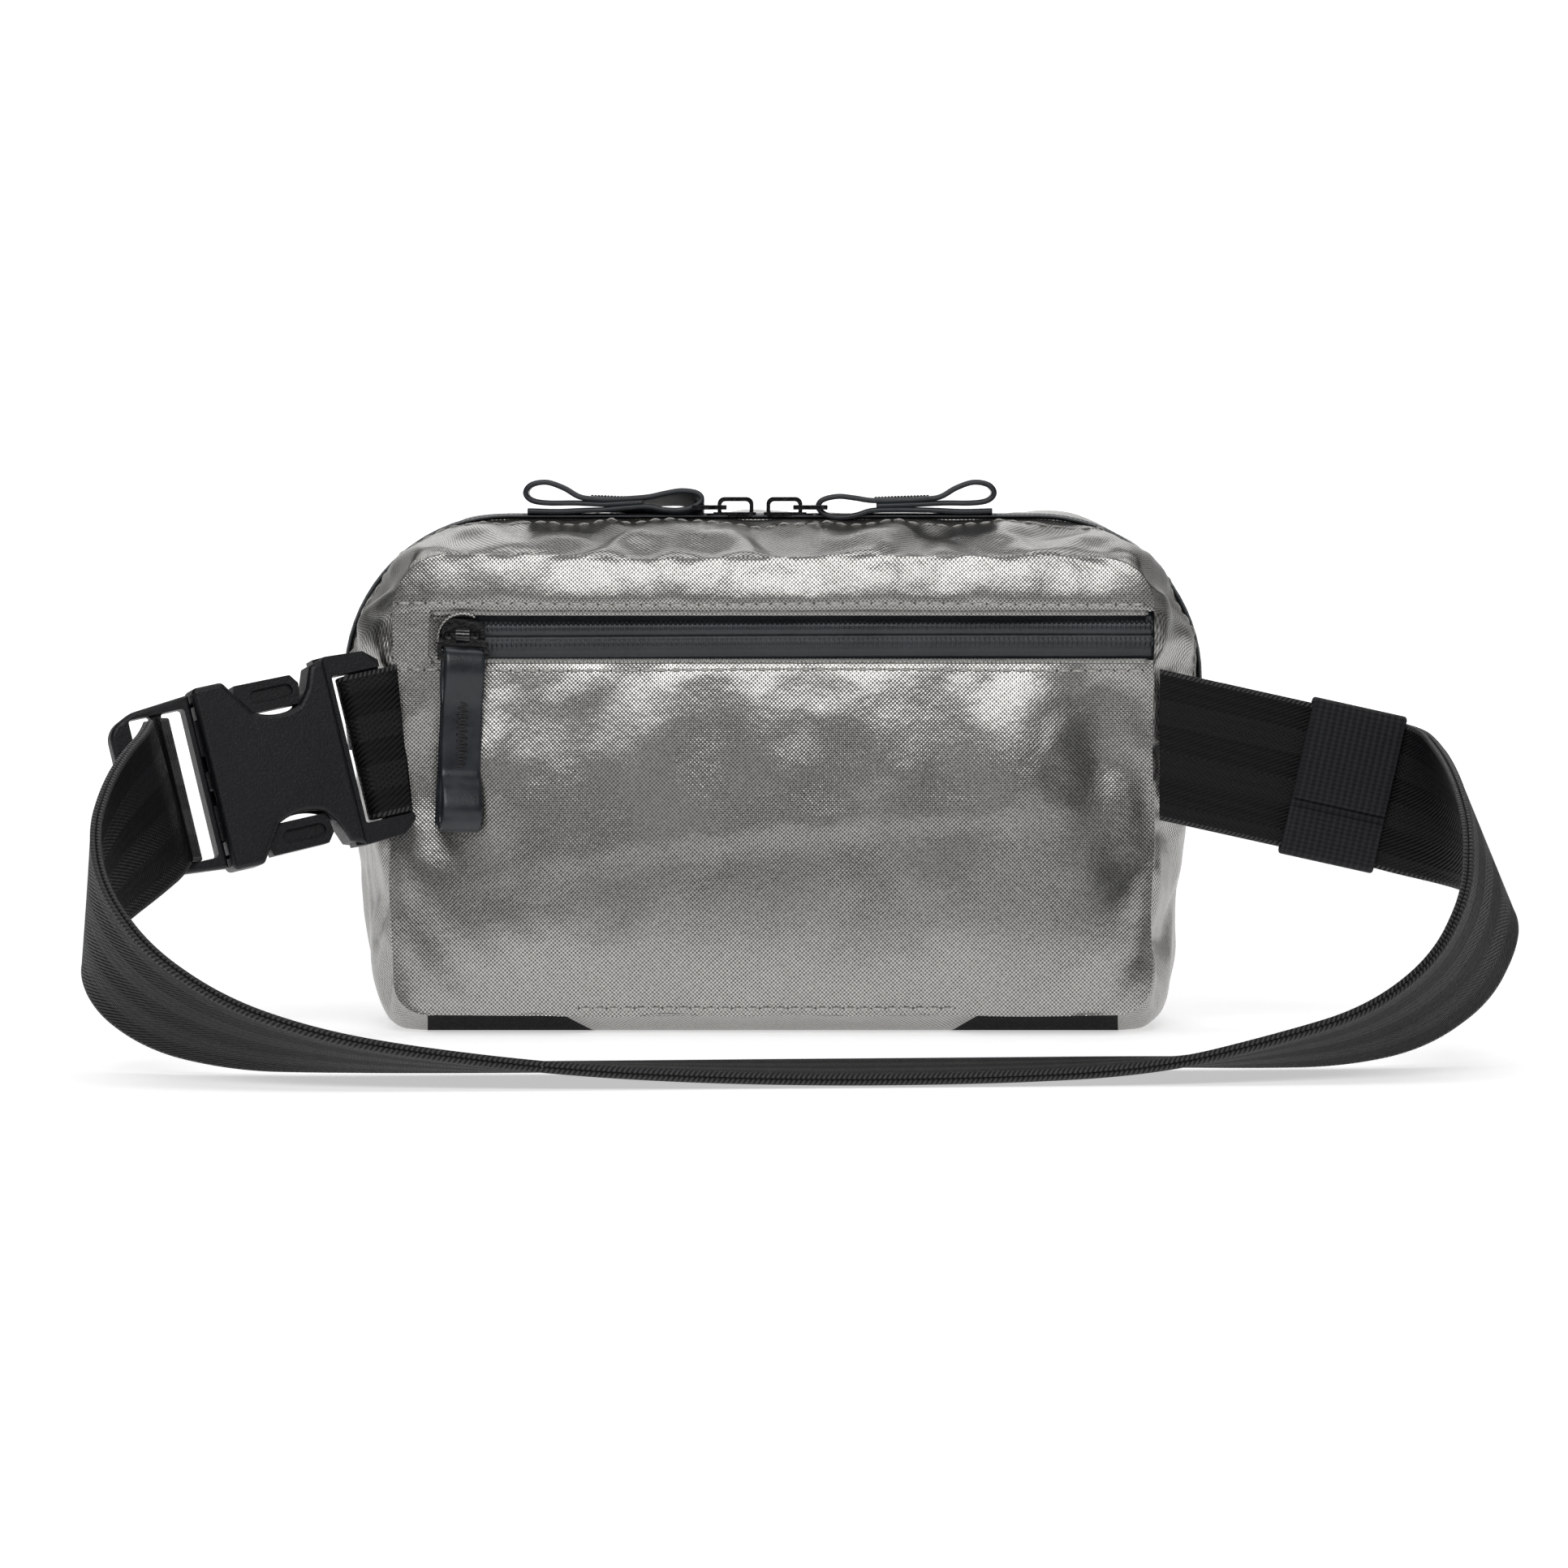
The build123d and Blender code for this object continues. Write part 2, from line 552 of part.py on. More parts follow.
# ---- hand over ----------------------------------------------------------------------
# The row's origin is the middle of the base, so everything moves back by half the pack's depth.
TO_ROW = Pos(0, -FRONT_Y / 2, 0)
NODES = {
    "back_panel_upper": back_panel_upper,
    "back_panel_lower": back_panel_lower,
    "pocket_zip_tape_upper": pocket_zip_tape_upper,
    "pocket_zip_tape_lower": pocket_zip_tape_lower,
    "pocket_zip_coil_upper": pocket_zip_coil_upper,
    "pocket_zip_coil_lower": pocket_zip_coil_lower,
    "pocket_zip_garage": pocket_zip_garage,
    "pocket_lining": pocket_lining,
    "rear_gusset": rear_gusset,
    "front_gusset": front_gusset,
    "front_panel": front_panel,
    "base_panel": base_panel,
    "base_patch_left": base_patch_left,
    "base_patch_right": base_patch_right,
    "main_zip_tape_rear": main_zip_tape_rear,
    "main_zip_tape_front": main_zip_tape_front,
    "main_zip_coil_rear": main_zip_coil_rear,
    "main_zip_coil_front": main_zip_coil_front,
    "buckle_webbing_loop": buckle_webbing_loop,
    "buckle_female": buckle_female,
    "waist_strap": waist_strap,
    "buckle_male": buckle_male,
    "buckle_prong_upper": buckle_prong_upper,
    "buckle_prong_lower": buckle_prong_lower,
    "strap_keeper": strap_keeper,
    "main_slider_left": main_slider_left,
    "main_tab_left": main_tab_left,
    "main_puller_left": main_puller_left,
    "main_slider_right": main_slider_right,
    "main_tab_right": main_tab_right,
    "main_puller_right": main_puller_right,
    "pocket_slider": pocket_slider,
    "pocket_tab": pocket_tab,
    "pocket_puller": pocket_puller,
}

for name, node in NODES.items():
    piece = TO_ROW * node.part
    piece.label = name
    export_step(piece, f"parts/{name}.step")
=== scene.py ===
from math import atan2, cos, pi, radians, sin, tan

import bmesh
import bpy
import numpy as np
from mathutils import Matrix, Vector, noise
from mathutils.bvhtree import BVHTree


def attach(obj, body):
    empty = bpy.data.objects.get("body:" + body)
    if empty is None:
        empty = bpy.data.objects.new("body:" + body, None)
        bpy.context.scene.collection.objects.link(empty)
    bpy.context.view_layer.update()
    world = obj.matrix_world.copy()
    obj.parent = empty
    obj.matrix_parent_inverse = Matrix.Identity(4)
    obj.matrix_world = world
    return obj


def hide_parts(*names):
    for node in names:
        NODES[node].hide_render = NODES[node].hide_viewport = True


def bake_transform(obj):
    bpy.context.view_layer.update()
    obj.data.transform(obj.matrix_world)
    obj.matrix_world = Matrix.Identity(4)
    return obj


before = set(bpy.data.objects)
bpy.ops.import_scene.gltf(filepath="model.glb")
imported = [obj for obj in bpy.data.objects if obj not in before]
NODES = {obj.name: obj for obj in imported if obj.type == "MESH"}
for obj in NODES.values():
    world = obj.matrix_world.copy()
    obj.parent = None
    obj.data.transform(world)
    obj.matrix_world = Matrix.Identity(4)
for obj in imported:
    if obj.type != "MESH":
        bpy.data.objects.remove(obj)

noise.seed_set(5)  # without a seed, the vector noise would start from the clock
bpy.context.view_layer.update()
scene = bpy.context.scene

# Own shapes are worked out in millimetres from the wearer's panel, and moved into the row frame last.
PANEL_BACK = 34.0


def row(points):
    return (np.asarray(points, float).reshape(-1, 3) - (0.0, PANEL_BACK, 0.0)) / 1000.0


def from_row(points):
    """Metres in the row frame, back to millimetres from the panel."""
    return np.array(points, float) * 1000 + (0, PANEL_BACK, 0)


def row_point(x, y, z):
    return Vector(row((x, y, z))[0])


def unit(v):
    v = np.asarray(v, float)
    return v / max(np.linalg.norm(v), 1e-12)


def units(vectors):
    """Every row of an array at length one."""
    return vectors / np.linalg.norm(vectors, axis=1)[:, None]


def bell(value, width):
    return np.exp(-(value / width) ** 2)


# ------------------------------------------------------------------ materials


class Nodes:
    """Short names for the nodes of one material."""

    def __init__(self, name):
        self.material = bpy.data.materials.new(name)
        self.material.use_nodes = True
        self.tree = self.material.node_tree

    def link(self, source, target):
        if isinstance(source, (int, float, tuple)):
            target.default_value = source
        else:
            self.tree.links.new(source, target)

    def node(self, kind, sources, **settings):
        """A new node with its settings, and with its inputs fed by number or by name."""
        node = self.tree.nodes.new("ShaderNode" + kind)
        for key, value in settings.items():
            setattr(node, key, value)
        for socket, source in sources.items():
            self.link(source, node.inputs[socket])
        return node

    def math(self, operation, a, b=0.0):
        return self.node("Math", {0: a, 1: b}, operation=operation).outputs[0]

    def add(self, a, b):
        return self.math("ADD", a, b)

    def times(self, a, b):
        return self.math("MULTIPLY", a, b)

    def uv(self):
        uv = self.node("UVMap", {}, uv_map="cloth").outputs[0]
        return self.node("SeparateXYZ", {0: uv}).outputs[:2]

    def place(self):
        return self.node("TexCoord", {}).outputs["Object"]

    def axes(self):
        return self.node("SeparateXYZ", {0: self.place()}).outputs

    def noise(self, size, detail=2.0, rough=0.5):
        """Cloudy noise whose features are about size metres across."""
        sources = {"Scale": 1.0 / size, "Detail": detail, "Roughness": rough, "Vector": self.place()}
        return self.node("TexNoise", sources).outputs["Fac"]

    def wave(self, value, pitch):
        return self.math("SINE", self.times(value, 2 * pi / pitch))

    def span(self, value, low, high, to_low, to_high):
        """Takes low and high to two new values, with nothing outside them."""
        sources = dict(enumerate((value, low, high, to_low, to_high)))
        return self.node("MapRange", sources).outputs[0]

    def cloudy(self, value, to_low, to_high):
        """Spreads a noise between two values: most of it lies from 0.3 to 0.7."""
        return self.span(value, 0.3, 0.7, to_low, to_high)

    def mix(self, factor, a, b):
        a, b = [(*tone, 1.0) if isinstance(tone, tuple) else tone for tone in (a, b)]
        return self.node("Mix", {0: factor, 6: a, 7: b}, data_type="RGBA").outputs[2]

    def shade(self, value, low, high, dark, light, most=1.0):
        """One tone where the value is low, the other where it is high."""
        return self.mix(self.span(value, low, high, 0.0, most), dark, light)

    def finish(self, tone, rough, bumps, **others):
        """Sets the shader and gives the material. Each bump is a height and its depth in metres."""
        values = {"Base_Color": tone, "Roughness": rough, **others}
        for height, depth in bumps:
            sources = {"Strength": 1.0, "Distance": depth, "Height": height}
            if "Normal" in values:
                sources["Normal"] = values["Normal"]
            values["Normal"] = self.node("Bump", sources).outputs[0]
        shader = self.tree.nodes["Principled BSDF"]
        for name, value in values.items():
            self.link(value, shader.inputs[name.replace("_", " ")])
        return self.material


def grey_nylon():
    """Metallic coated plain weave in silver grey: bright thread crowns, with painted shade in the gaps
    between them.
    """
    n = Nodes("coated_grey_nylon")
    u, v = n.uv()
    weave = n.times(n.wave(u, 0.00104), n.wave(v, 0.00104))
    slow, fine, yarn = n.noise(0.022, 3.0, 0.55), n.noise(0.0022), n.noise(0.0006, 1.0)
    # Painted shade: the weave's gaps are darkened in the colour, while the crowns keep the cloth's own
    # silver.
    tone = n.shade(weave, -0.75, 0.85, (0.045, 0.0435, 0.041), (0.60, 0.592, 0.572))
    tone = n.shade(slow, 0.3, 0.7, tone, (0.20, 0.196, 0.19), 0.12)
    tone = n.shade(yarn, 0.35, 0.7, tone, (0.80, 0.79, 0.77), 0.18)
    rough = n.add(n.cloudy(slow, 0.24, 0.30), n.span(weave, -1.0, 1.0, 0.08, 0.0))
    return n.finish(tone, rough, [(slow, 0.00035), (fine, 0.00010), (weave, 0.000021)], Metallic=0.93)


def zip_film():
    """Matt dark film over a zip: the coil's teeth show through it each side of its slit, and the film along
    the slit is painted near black as shade.
    """
    n = Nodes("coated_zip_tape")
    u, v = n.uv()
    side = n.math("ABSOLUTE", v)
    on_coil = n.times(n.span(side, 0.0028, 0.0036, 1.0, 0.0), n.span(side, 0.0008, 0.0014, 0.0, 1.0))
    teeth = n.times(n.wave(u, 0.00125), on_coil)
    teeth = n.times(teeth, n.add(n.times(n.wave(v, 0.0013), 0.5), 0.7))
    fine, slow = n.noise(0.0007, 3.0, 0.6), n.noise(0.012)
    tone = n.shade(slow, 0.3, 0.7, (0.020, 0.0235, 0.027), (0.032, 0.037, 0.042))
    tone = n.shade(fine, 0.4, 0.75, tone, (0.058, 0.066, 0.074), 0.35)
    # Painted shade: the film is near black along the slit between the two halves.
    tone = n.mix(n.span(side, 0.00025, 0.00055, 1.0, 0.0), tone, (0.001, 0.001, 0.001))
    return n.finish(tone, n.cloudy(fine, 0.30, 0.43), [(teeth, 0.00013), (fine, 0.00005)])


def webbing(name, along, across, depth):
    """Seat-belt webbing in satin and twill bands; along and across are the pitches of its yarns."""
    n = Nodes(name)
    u, v = n.uv()
    satin = n.span(n.wave(v, 0.0130), -0.08, 0.08, 0.0, 1.0)
    check = n.times(n.wave(v, across), n.wave(u, along))
    twill = n.math("SINE", n.add(n.times(u, 2 * pi / along), n.times(v, 2 * pi / across)))
    height = n.add(n.times(check, satin), n.times(twill, n.math("SUBTRACT", 1.0, satin)))
    height = n.add(height, n.times(n.wave(v, 0.0024), 0.35))
    fuzz = n.noise(0.0009, 3.0, 0.6)
    # Painted shade: the weave's hollows are darker in the colour, on top of the webbing's own pattern.
    tone = n.shade(height, -1.0, 1.2, (0.0008, 0.0008, 0.0010), (0.0100, 0.0100, 0.0110))
    tone = n.mix(n.times(satin, 0.45), tone, (0.0150, 0.0150, 0.0160))
    rough = n.add(n.cloudy(fuzz, 0.46, 0.60), n.times(satin, -0.05))
    return n.finish(tone, rough, [(height, depth), (fuzz, 0.00008)], Specular_IOR_Level=0.16)


def edge_cord():
    """The beaded edge of the webbing."""
    n = Nodes("black_webbing_edge")
    u, v = n.uv()
    beads = n.math("ABSOLUTE", n.wave(n.add(u, n.times(v, 0.6)), 0.0024))
    # Painted shade: the colour is darker where the cord dips between its beads.
    tone = n.mix(beads, (0.004, 0.004, 0.004), (0.050, 0.050, 0.053))
    rough = n.cloudy(n.noise(0.0006, 3.0, 0.6), 0.42, 0.60)
    return n.finish(tone, rough, [(beads, 0.0005)], Specular_IOR_Level=0.4)


def elastic():
    """Woven elastic: ribs across its width with a fine grid of yarns."""
    n = Nodes("black_elastic")
    u, v = n.uv()
    height = n.add(n.wave(v, 0.0017), n.times(n.wave(u, 0.0011), 0.7))
    fuzz = n.noise(0.0009, 3.0, 0.6)
    # Painted shade: the colour is darker in the hollows between the ribs and yarns.
    tone = n.shade(height, -1.7, 1.7, (0.003, 0.0035, 0.004), (0.022, 0.023, 0.026))
    bumps = [(height, 0.00009), (fuzz, 0.0001)]
    return n.finish(tone, n.cloudy(fuzz, 0.68, 0.82), bumps, Specular_IOR_Level=0.3)


def acetal():
    """Pebbled black moulded plastic."""
    n = Nodes("black_acetal")
    pebble = n.noise(0.00055, 2.0, 0.55)
    tone = n.shade(n.noise(0.012), 0.3, 0.7, (0.0030, 0.0034, 0.0046), (0.0050, 0.0058, 0.0075))
    tone = n.shade(pebble, 0.58, 0.72, tone, (0.020, 0.023, 0.029), 0.5)
    return n.finish(tone, n.cloudy(pebble, 0.36, 0.48), [(pebble, 0.00010)], Specular_IOR_Level=0.36)


def slider_metal():
    """Glossy black paint on cast zinc, slightly worn on its grain."""
    n = Nodes("black_slider_metal")
    slow = n.noise(0.0016, 3.0, 0.6)
    tone = n.shade(slow, 0.55, 0.75, (0.006, 0.006, 0.007), (0.030, 0.031, 0.034), 0.6)
    return n.finish(tone, n.cloudy(slow, 0.10, 0.24), [(slow, 0.00014)],
                    Metallic=0.25, Coat_Weight=0.6, Coat_Roughness=0.08)


def rubber_strip():
    """Smooth film-coated strip of the zip pullers, satin with soft clouds."""
    n = Nodes("rubberised_strip")
    slow = n.noise(0.006)
    tone = n.shade(slow, 0.3, 0.7, (0.013, 0.016, 0.020), (0.028, 0.033, 0.040))
    return n.finish(tone, n.cloudy(slow, 0.26, 0.40), [(n.noise(0.0008, 3.0, 0.6), 0.00004)])


def base_cloth():
    """Coarse black reinforcing cloth of the lower corners."""
    n = Nodes("black_base_fabric")
    u, v = n.uv()
    weave = n.times(n.wave(u, 0.0012), n.wave(v, 0.0012))
    fuzz = n.noise(0.0012, 3.0, 0.6)
    # Painted shade: the colour is darker in the hollows of the weave.
    tone = n.shade(weave, -1.0, 1.0, (0.002, 0.002, 0.0023), (0.009, 0.009, 0.0098))
    bumps = [(weave, 0.00013), (fuzz, 0.0001)]
    return n.finish(tone, n.cloudy(fuzz, 0.62, 0.8), bumps, Specular_IOR_Level=0.10)


def thread(name, dark, light):
    n = Nodes(name)
    ply = n.noise(0.0004)
    tone = n.shade(ply, 0.35, 0.65, dark, light)
    return n.finish(tone, n.cloudy(ply, 0.45, 0.6), [(ply, 0.00008)], Metallic=0.1)


def coil_nylon():
    n = Nodes("zip_coil")
    turns = n.wave(n.axes()[0], 0.0013)
    # Painted shade: the colour is darker between the coil's turns.
    tone = n.shade(turns, -1.0, 1.0, (0.006, 0.006, 0.007), (0.022, 0.023, 0.025))
    return n.finish(tone, n.cloudy(n.noise(0.002), 0.3, 0.45), [(turns, 0.0003)])


def lining_cloth():
    """Thin dark lining of the pocket; it takes its place from the model, having no cloth coordinates."""
    n = Nodes("pocket_lining_fabric")
    x, y, z = n.axes()
    weave = n.times(n.wave(x, 0.0008), n.wave(z, 0.0008))
    # Painted shade: the colour is darker in the hollows of the weave.
    tone = n.shade(weave, -1.0, 1.0, (0.018, 0.019, 0.021), (0.045, 0.047, 0.050))
    return n.finish(tone, n.cloudy(n.noise(0.003), 0.6, 0.75), [(weave, 0.0001)])


GREY = grey_nylon()
FILM = zip_film()
WEB = webbing("black_webbing", 0.0016, 0.0010, 0.00012)
WEB_CHECK = webbing("black_webbing_check", 0.0021, 0.00125, 0.00016)
EDGE = edge_cord()
ELASTIC = elastic()
PLASTIC = acetal()
METAL = slider_metal()
RUBBER = rubber_strip()
BASE_CLOTH = base_cloth()
GREY_THREAD = thread("grey_thread", (0.36, 0.35, 0.33), (0.60, 0.585, 0.56))
# Colour of the painted shade at the needle holes.
HOLE_SHADE = thread("needle_hole_shade", (0.045, 0.042, 0.038), (0.09, 0.085, 0.078))
BLACK_THREAD = thread("black_thread", (0.006, 0.006, 0.007), (0.03, 0.03, 0.032))
COIL_NYLON = coil_nylon()
LINING = lining_cloth()


# ---------------------------------------------------------------- mesh makers


def finish_piece(obj, material, body, slot, *nodes):
    """Gives a piece its material, its body and the CAD nodes it stands for. The slot is not used."""
    obj.data.materials.clear()
    obj.data.materials.append(material)
    obj.data.polygons.foreach_set("use_smooth", [True] * len(obj.data.polygons))
    if body:
        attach(obj, body)
    if nodes:
        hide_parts(*nodes)
    return obj


def grey_piece(obj, *nodes):
    return finish_piece(obj, GREY, "bag", "coated_grey_nylon", *nodes)


def mesh_object(name, points, faces, uvs=None):
    """points in millimetres from the panel; uvs one pair of millimetres per point, or per face corner."""
    mesh = bpy.data.meshes.new(name)
    mesh.from_pydata([tuple(p) for p in row(points)], [], [tuple(int(i) for i in f) for f in faces])
    if uvs is not None:
        layer = mesh.uv_layers.new(name="cloth")
        corner = np.zeros(len(mesh.loops), np.int32)
        mesh.loops.foreach_get("vertex_index", corner)
        flat = np.asarray(uvs, float)
        flat = flat if len(flat) == len(corner) else flat[corner]
        layer.data.foreach_set("uv", (flat / 1000.0).astype(np.float32).ravel())
    obj = bpy.data.objects.new(name, mesh)
    scene.collection.objects.link(obj)
    return obj


def grid_faces(rows, columns, closed=False, base=0):
    faces = []
    for i in range(rows - 1):
        here, above = base + i * columns, base + (i + 1) * columns
        for j in range(columns if closed else columns - 1):
            k = (j + 1) % columns
            faces.append((here + j, here + k, above + k, above + j))
    return faces


def tube_faces(rings, sides, base=0):
    """A closed grid with a cap at each end."""
    last = base + (rings - 1) * sides
    caps = [tuple(base + k for k in range(sides))[::-1], tuple(last + k for k in range(sides))]
    return grid_faces(rings, sides, True, base) + caps


def circle(middle, side, up, radius, sides):
    turns = [2 * pi * k / sides for k in range(sides)]
    return [middle + radius * (cos(t) * side + sin(t) * up) for t in turns]


def arc_lengths(points):
    steps = np.linalg.norm(np.diff(points, axis=0), axis=1)
    return np.concatenate([[0.0], np.cumsum(steps)])


def points_along(points, lengths, want):
    """Where a line, or what goes with it, is at the wanted distances along it."""
    return np.stack([np.interp(want, lengths, points[:, k]) for k in range(points.shape[1])], axis=-1)


def resample(points, spacing):
    lengths = arc_lengths(points)
    count = max(2, int(round(lengths[-1] / spacing)) + 1)
    return points_along(points, lengths, np.linspace(0, lengths[-1], count))


def smooth_path(stops, per_run=10):
    """A Catmull-Rom line through given stops."""
    stops = np.asarray(stops, float)
    padded = np.vstack([2 * stops[0] - stops[1], stops, 2 * stops[-1] - stops[-2]])
    out = []
    for i in range(1, len(padded) - 2):
        a, b, c, d = padded[i - 1:i + 3]
        for t in np.linspace(0, 1, per_run, endpoint=False):
            out.append(0.5 * (2 * b + (c - a) * t + (2 * a - 5 * b + 4 * c - d) * t * t
                              + (3 * b - a - 3 * c + d) * t ** 3))
    out.append(stops[-1])
    return np.array(out)


def ribbon(name, centre, wide, width, thick, lift=0.0, edge=1.0, flats=9):
    """A flat strip with rounded edges along a line, and a list that marks the faces along its edges.

    wide is the direction across it, edge how much fatter than the strip its two edges are, and flats
    how many points its section has on each face. The uv runs along it and across it.
    """
    corner = 7  # points on the section's rounded edge
    count = len(centre)
    ahead = units(np.gradient(centre, axis=0))
    across = units(wide - ahead * np.sum(wide * ahead, axis=1)[:, None])
    face = np.cross(across, ahead)
    half, r = width / 2, thick / 2
    fat = r * edge
    section = []
    for way in (1, -1):
        section += [(t * (half - fat * 1.6), r * way) for t in np.linspace(-way, way, flats)]
        section += [(way * (half - fat + fat * cos(a)), fat * sin(a))
                    for a in np.radians(np.linspace(75 * way, -75 * way, corner))]
    section = np.array(section)
    m = len(section)
    along = arc_lengths(centre)
    round_it = arc_lengths(np.vstack([section, section[:1]])) - half
    points = np.zeros((count, m, 3))
    for j, (sideways, up) in enumerate(section):
        points[:, j] = centre + across * sideways + face * (up + lift)
    faces, uvs, marks = [], [], []
    for i in range(count - 1):
        for j in range(m):
            k = (j + 1) % m
            faces.append((i * m + j, (i + 1) * m + j, (i + 1) * m + k, i * m + k))
            a, b = round_it[j], round_it[j + 1]
            uvs += [(along[i], a), (along[i + 1], a), (along[i + 1], b), (along[i], b)]
            marks.append(int(flats - 1 <= j < flats + corner or j >= 2 * flats + corner - 1))
    for i, order in ((0, 1), (count - 1, -1)):
        faces.append(tuple(i * m + j for j in range(m))[::order])
        uvs += [(along[i], round_it[j]) for j in range(m)][::order]
        marks.append(0)
    return mesh_object(name, points.reshape(-1, 3), faces, uvs), marks


def webbing_piece(name, centre, wide, width, thick, material, body, *nodes, **shape):
    """A ribbon of webbing: the faces along its two edges get the beaded material."""
    obj, marks = ribbon(name, centre, wide, width, thick, **shape)
    finish_piece(obj, material, body, "black_webbing", *nodes)
    obj.data.materials.append(EDGE)
    obj.data.polygons.foreach_set("material_index", marks)
    return obj


def cut(obj, point, away, reach=0.045):
    """Takes off what lies past a plane, within reach metres of a point in millimetres from the panel."""
    work = bmesh.new()
    work.from_mesh(obj.data)
    place = row_point(*point)
    verts = [v for v in work.verts if (v.co - place).length < reach]
    edges = list({e for v in verts for e in v.link_edges})
    faces = list({f for v in verts for f in v.link_faces})
    bmesh.ops.bisect_plane(work, geom=verts + edges + faces, plane_co=place, plane_no=away, clear_outer=True)
    work.to_mesh(obj.data)
    work.free()


def tube(name, line, radius, sides=8):
    line = np.asarray(line, float)
    ahead = units(np.gradient(line, axis=0))
    helper = np.array([0.0, 0.0, 1.0]) if abs(ahead[0][2]) < 0.8 else np.array([0.0, 1.0, 0.0])
    side = unit(np.cross(ahead[0], helper))
    points, uvs = [], []
    for p, a, s in zip(line, ahead, arc_lengths(line)):
        side = unit(side - a * np.dot(side, a))
        points += circle(p, side, np.cross(a, side), radius, sides)
        uvs += [(s, radius * 2 * pi * k / sides) for k in range(sides)]
    return mesh_object(name, points, tube_faces(len(line), sides), uvs)


# A run of sewing is its line on the cloth, which way is out at each point, its stitches' pitch and length.


def painted_hole_shades(name, runs, radius=0.30, sides=8):
    """Small dark cones where each stitch goes into the cloth: painted shade for the dents there."""
    points, faces = [], []
    for line, outs, pitch, length in runs:
        line, outs = np.asarray(line, float), np.asarray(outs, float)
        along = arc_lengths(line)
        for spot in np.arange(int(along[-1] // pitch) + 1) * pitch:
            p, out = points_along(line, along, spot), unit(points_along(outs, along, spot))
            side = unit(np.cross(out, (0.31, 0.17, 0.93)))
            base = len(points)
            points.append(p + out * 0.14)
            points += circle(p + out * 0.02, side, np.cross(out, side), radius, sides)
            faces += [(base, base + 1 + k, base + 1 + (k + 1) % sides) for k in range(sides)]
    return mesh_object(name, points, faces)


def stitches(name, runs, radius, sink, sides=6, rings=6):
    """Separate sewn stitches, thin at both ends and sunk into the cloth."""
    points, faces = [], []
    for line, outs, pitch, length in runs:
        line, outs = np.asarray(line, float), np.asarray(outs, float)
        along = arc_lengths(line)
        for start in np.arange(int(along[-1] // pitch)) * pitch + (pitch - length) / 2:
            stops = start + np.linspace(0, 1, rings) * length
            middle, out = points_along(line, along, stops), points_along(outs, along, stops)
            ahead = unit(middle[-1] - middle[0])
            faces += tube_faces(rings, sides, len(points))
            for q, (p, up) in enumerate(zip(middle, out)):
                up = unit(up - ahead * np.dot(up, ahead))
                rise = sin(pi * q / (rings - 1))
                p = p + up * (radius * (rise - 0.55) - sink + 0.12)
                points += circle(p, np.cross(ahead, up), up, radius * (0.45 + 0.55 * rise), sides)
    return mesh_object(name, points, faces)


# ----------------------------------------------------------------- pack shell
# The outlines of the pack's form, as in the CAD: distance from the panel, half widths at top and foot,
# floor, top, corner radii.
OUTLINES = [
    (0.0, 98.0, 98.0, 5.0, 123.3, 14.0, 9.0),
    (12.0, 106.5, 101.0, -0.3, 129.0, 28.0, 12.0),
    (30.0, 111.3, 102.0, -0.7, 133.2, 42.0, 14.0),
    (37.0, 111.3, 102.0, -0.7, 133.2, 42.0, 14.0),
    (60.0, 107.0, 102.0, -0.5, 129.5, 40.0, 14.0),
    (68.0, 99.0, 96.0, 5.0, 121.0, 36.0, 12.0),
]
REAR_SHAPE, FRONT_SHAPE = OUTLINES[0], OUTLINES[-1]
PANEL_HALF, PANEL_FOOT, PANEL_TOP = 98.0, 5.0, 123.3  # of the wearer's panel
MIDDLE_Z = 66.0
SHOULDER = 0.62  # share of an outline's height at which its sides begin to lean
ZIP_Y, ZIP_TAPE, ZIP_END, SEAM_Z = 30.0, 3.0, 75.0, 55.0
POCKET_LOW, POCKET_HIGH, POCKET_LINE, POCKET_LEFT = 96.4, 108.9, 103.0, -88.0
# Points on each stretch of half an outline, and where each stretch starts: the patch, the rest of the base,
# the lower corner, the side up to the side seam, up to the zip's end, up to the shoulder, and on to the top.
COUNTS = (14, 15, 8, 16, 8, 3, 10, 18, 26)
LOWER_CORNER, UPPER_CORNER = 2, 7
starts = [sum(COUNTS[:n]) for n in range(len(COUNTS) + 1)]


def half_outline(y, top, foot, low, high, upper, lower):
    """Right half of one outline, from the middle of the base up to the middle of the top."""
    shoulder = SHOULDER * high
    lean = atan2(top - foot, shoulder - low)
    turn = pi / 2 - lean
    cut_back = lower * tan(turn / 2)
    patch = 46.0 + 7.0 * max(0.0, 1 - y / 12) + 7.0 * max(0.0, (y - 60) / 8)
    centre = (foot - cut_back, low + lower)
    start = -pi / 2
    ends = (centre[0] + lower * cos(start + turn), centre[1] + lower * sin(start + turn))
    slope = tan(lean)
    stops = [(0.0, low), (patch, low), (foot - cut_back, low), ends,
             (foot + slope * (SEAM_Z - low), SEAM_Z), (foot + slope * (ZIP_END - low), ZIP_END),
             (top, shoulder), (top, high - upper), (top - upper, high), (0.0, high)]
    out = []
    for n, count in enumerate(COUNTS):
        a, b = np.array(stops[n]), np.array(stops[n + 1])
        for t in np.arange(count) / count:
            if n == LOWER_CORNER:
                angle = start + turn * t
                out.append((centre[0] + lower * cos(angle), centre[1] + lower * sin(angle)))
            elif n == UPPER_CORNER:
                angle = pi / 2 * t
                out.append((top - upper + upper * cos(angle), high - upper + upper * sin(angle)))
            else:
                out.append(tuple(a + (b - a) * t))
    out.append(stops[-1])
    return np.array(out)


def full_outline(shape):
    right = half_outline(*shape)
    left = right[1:-1][::-1] * (-1, 1)
    return np.vstack([right, left])


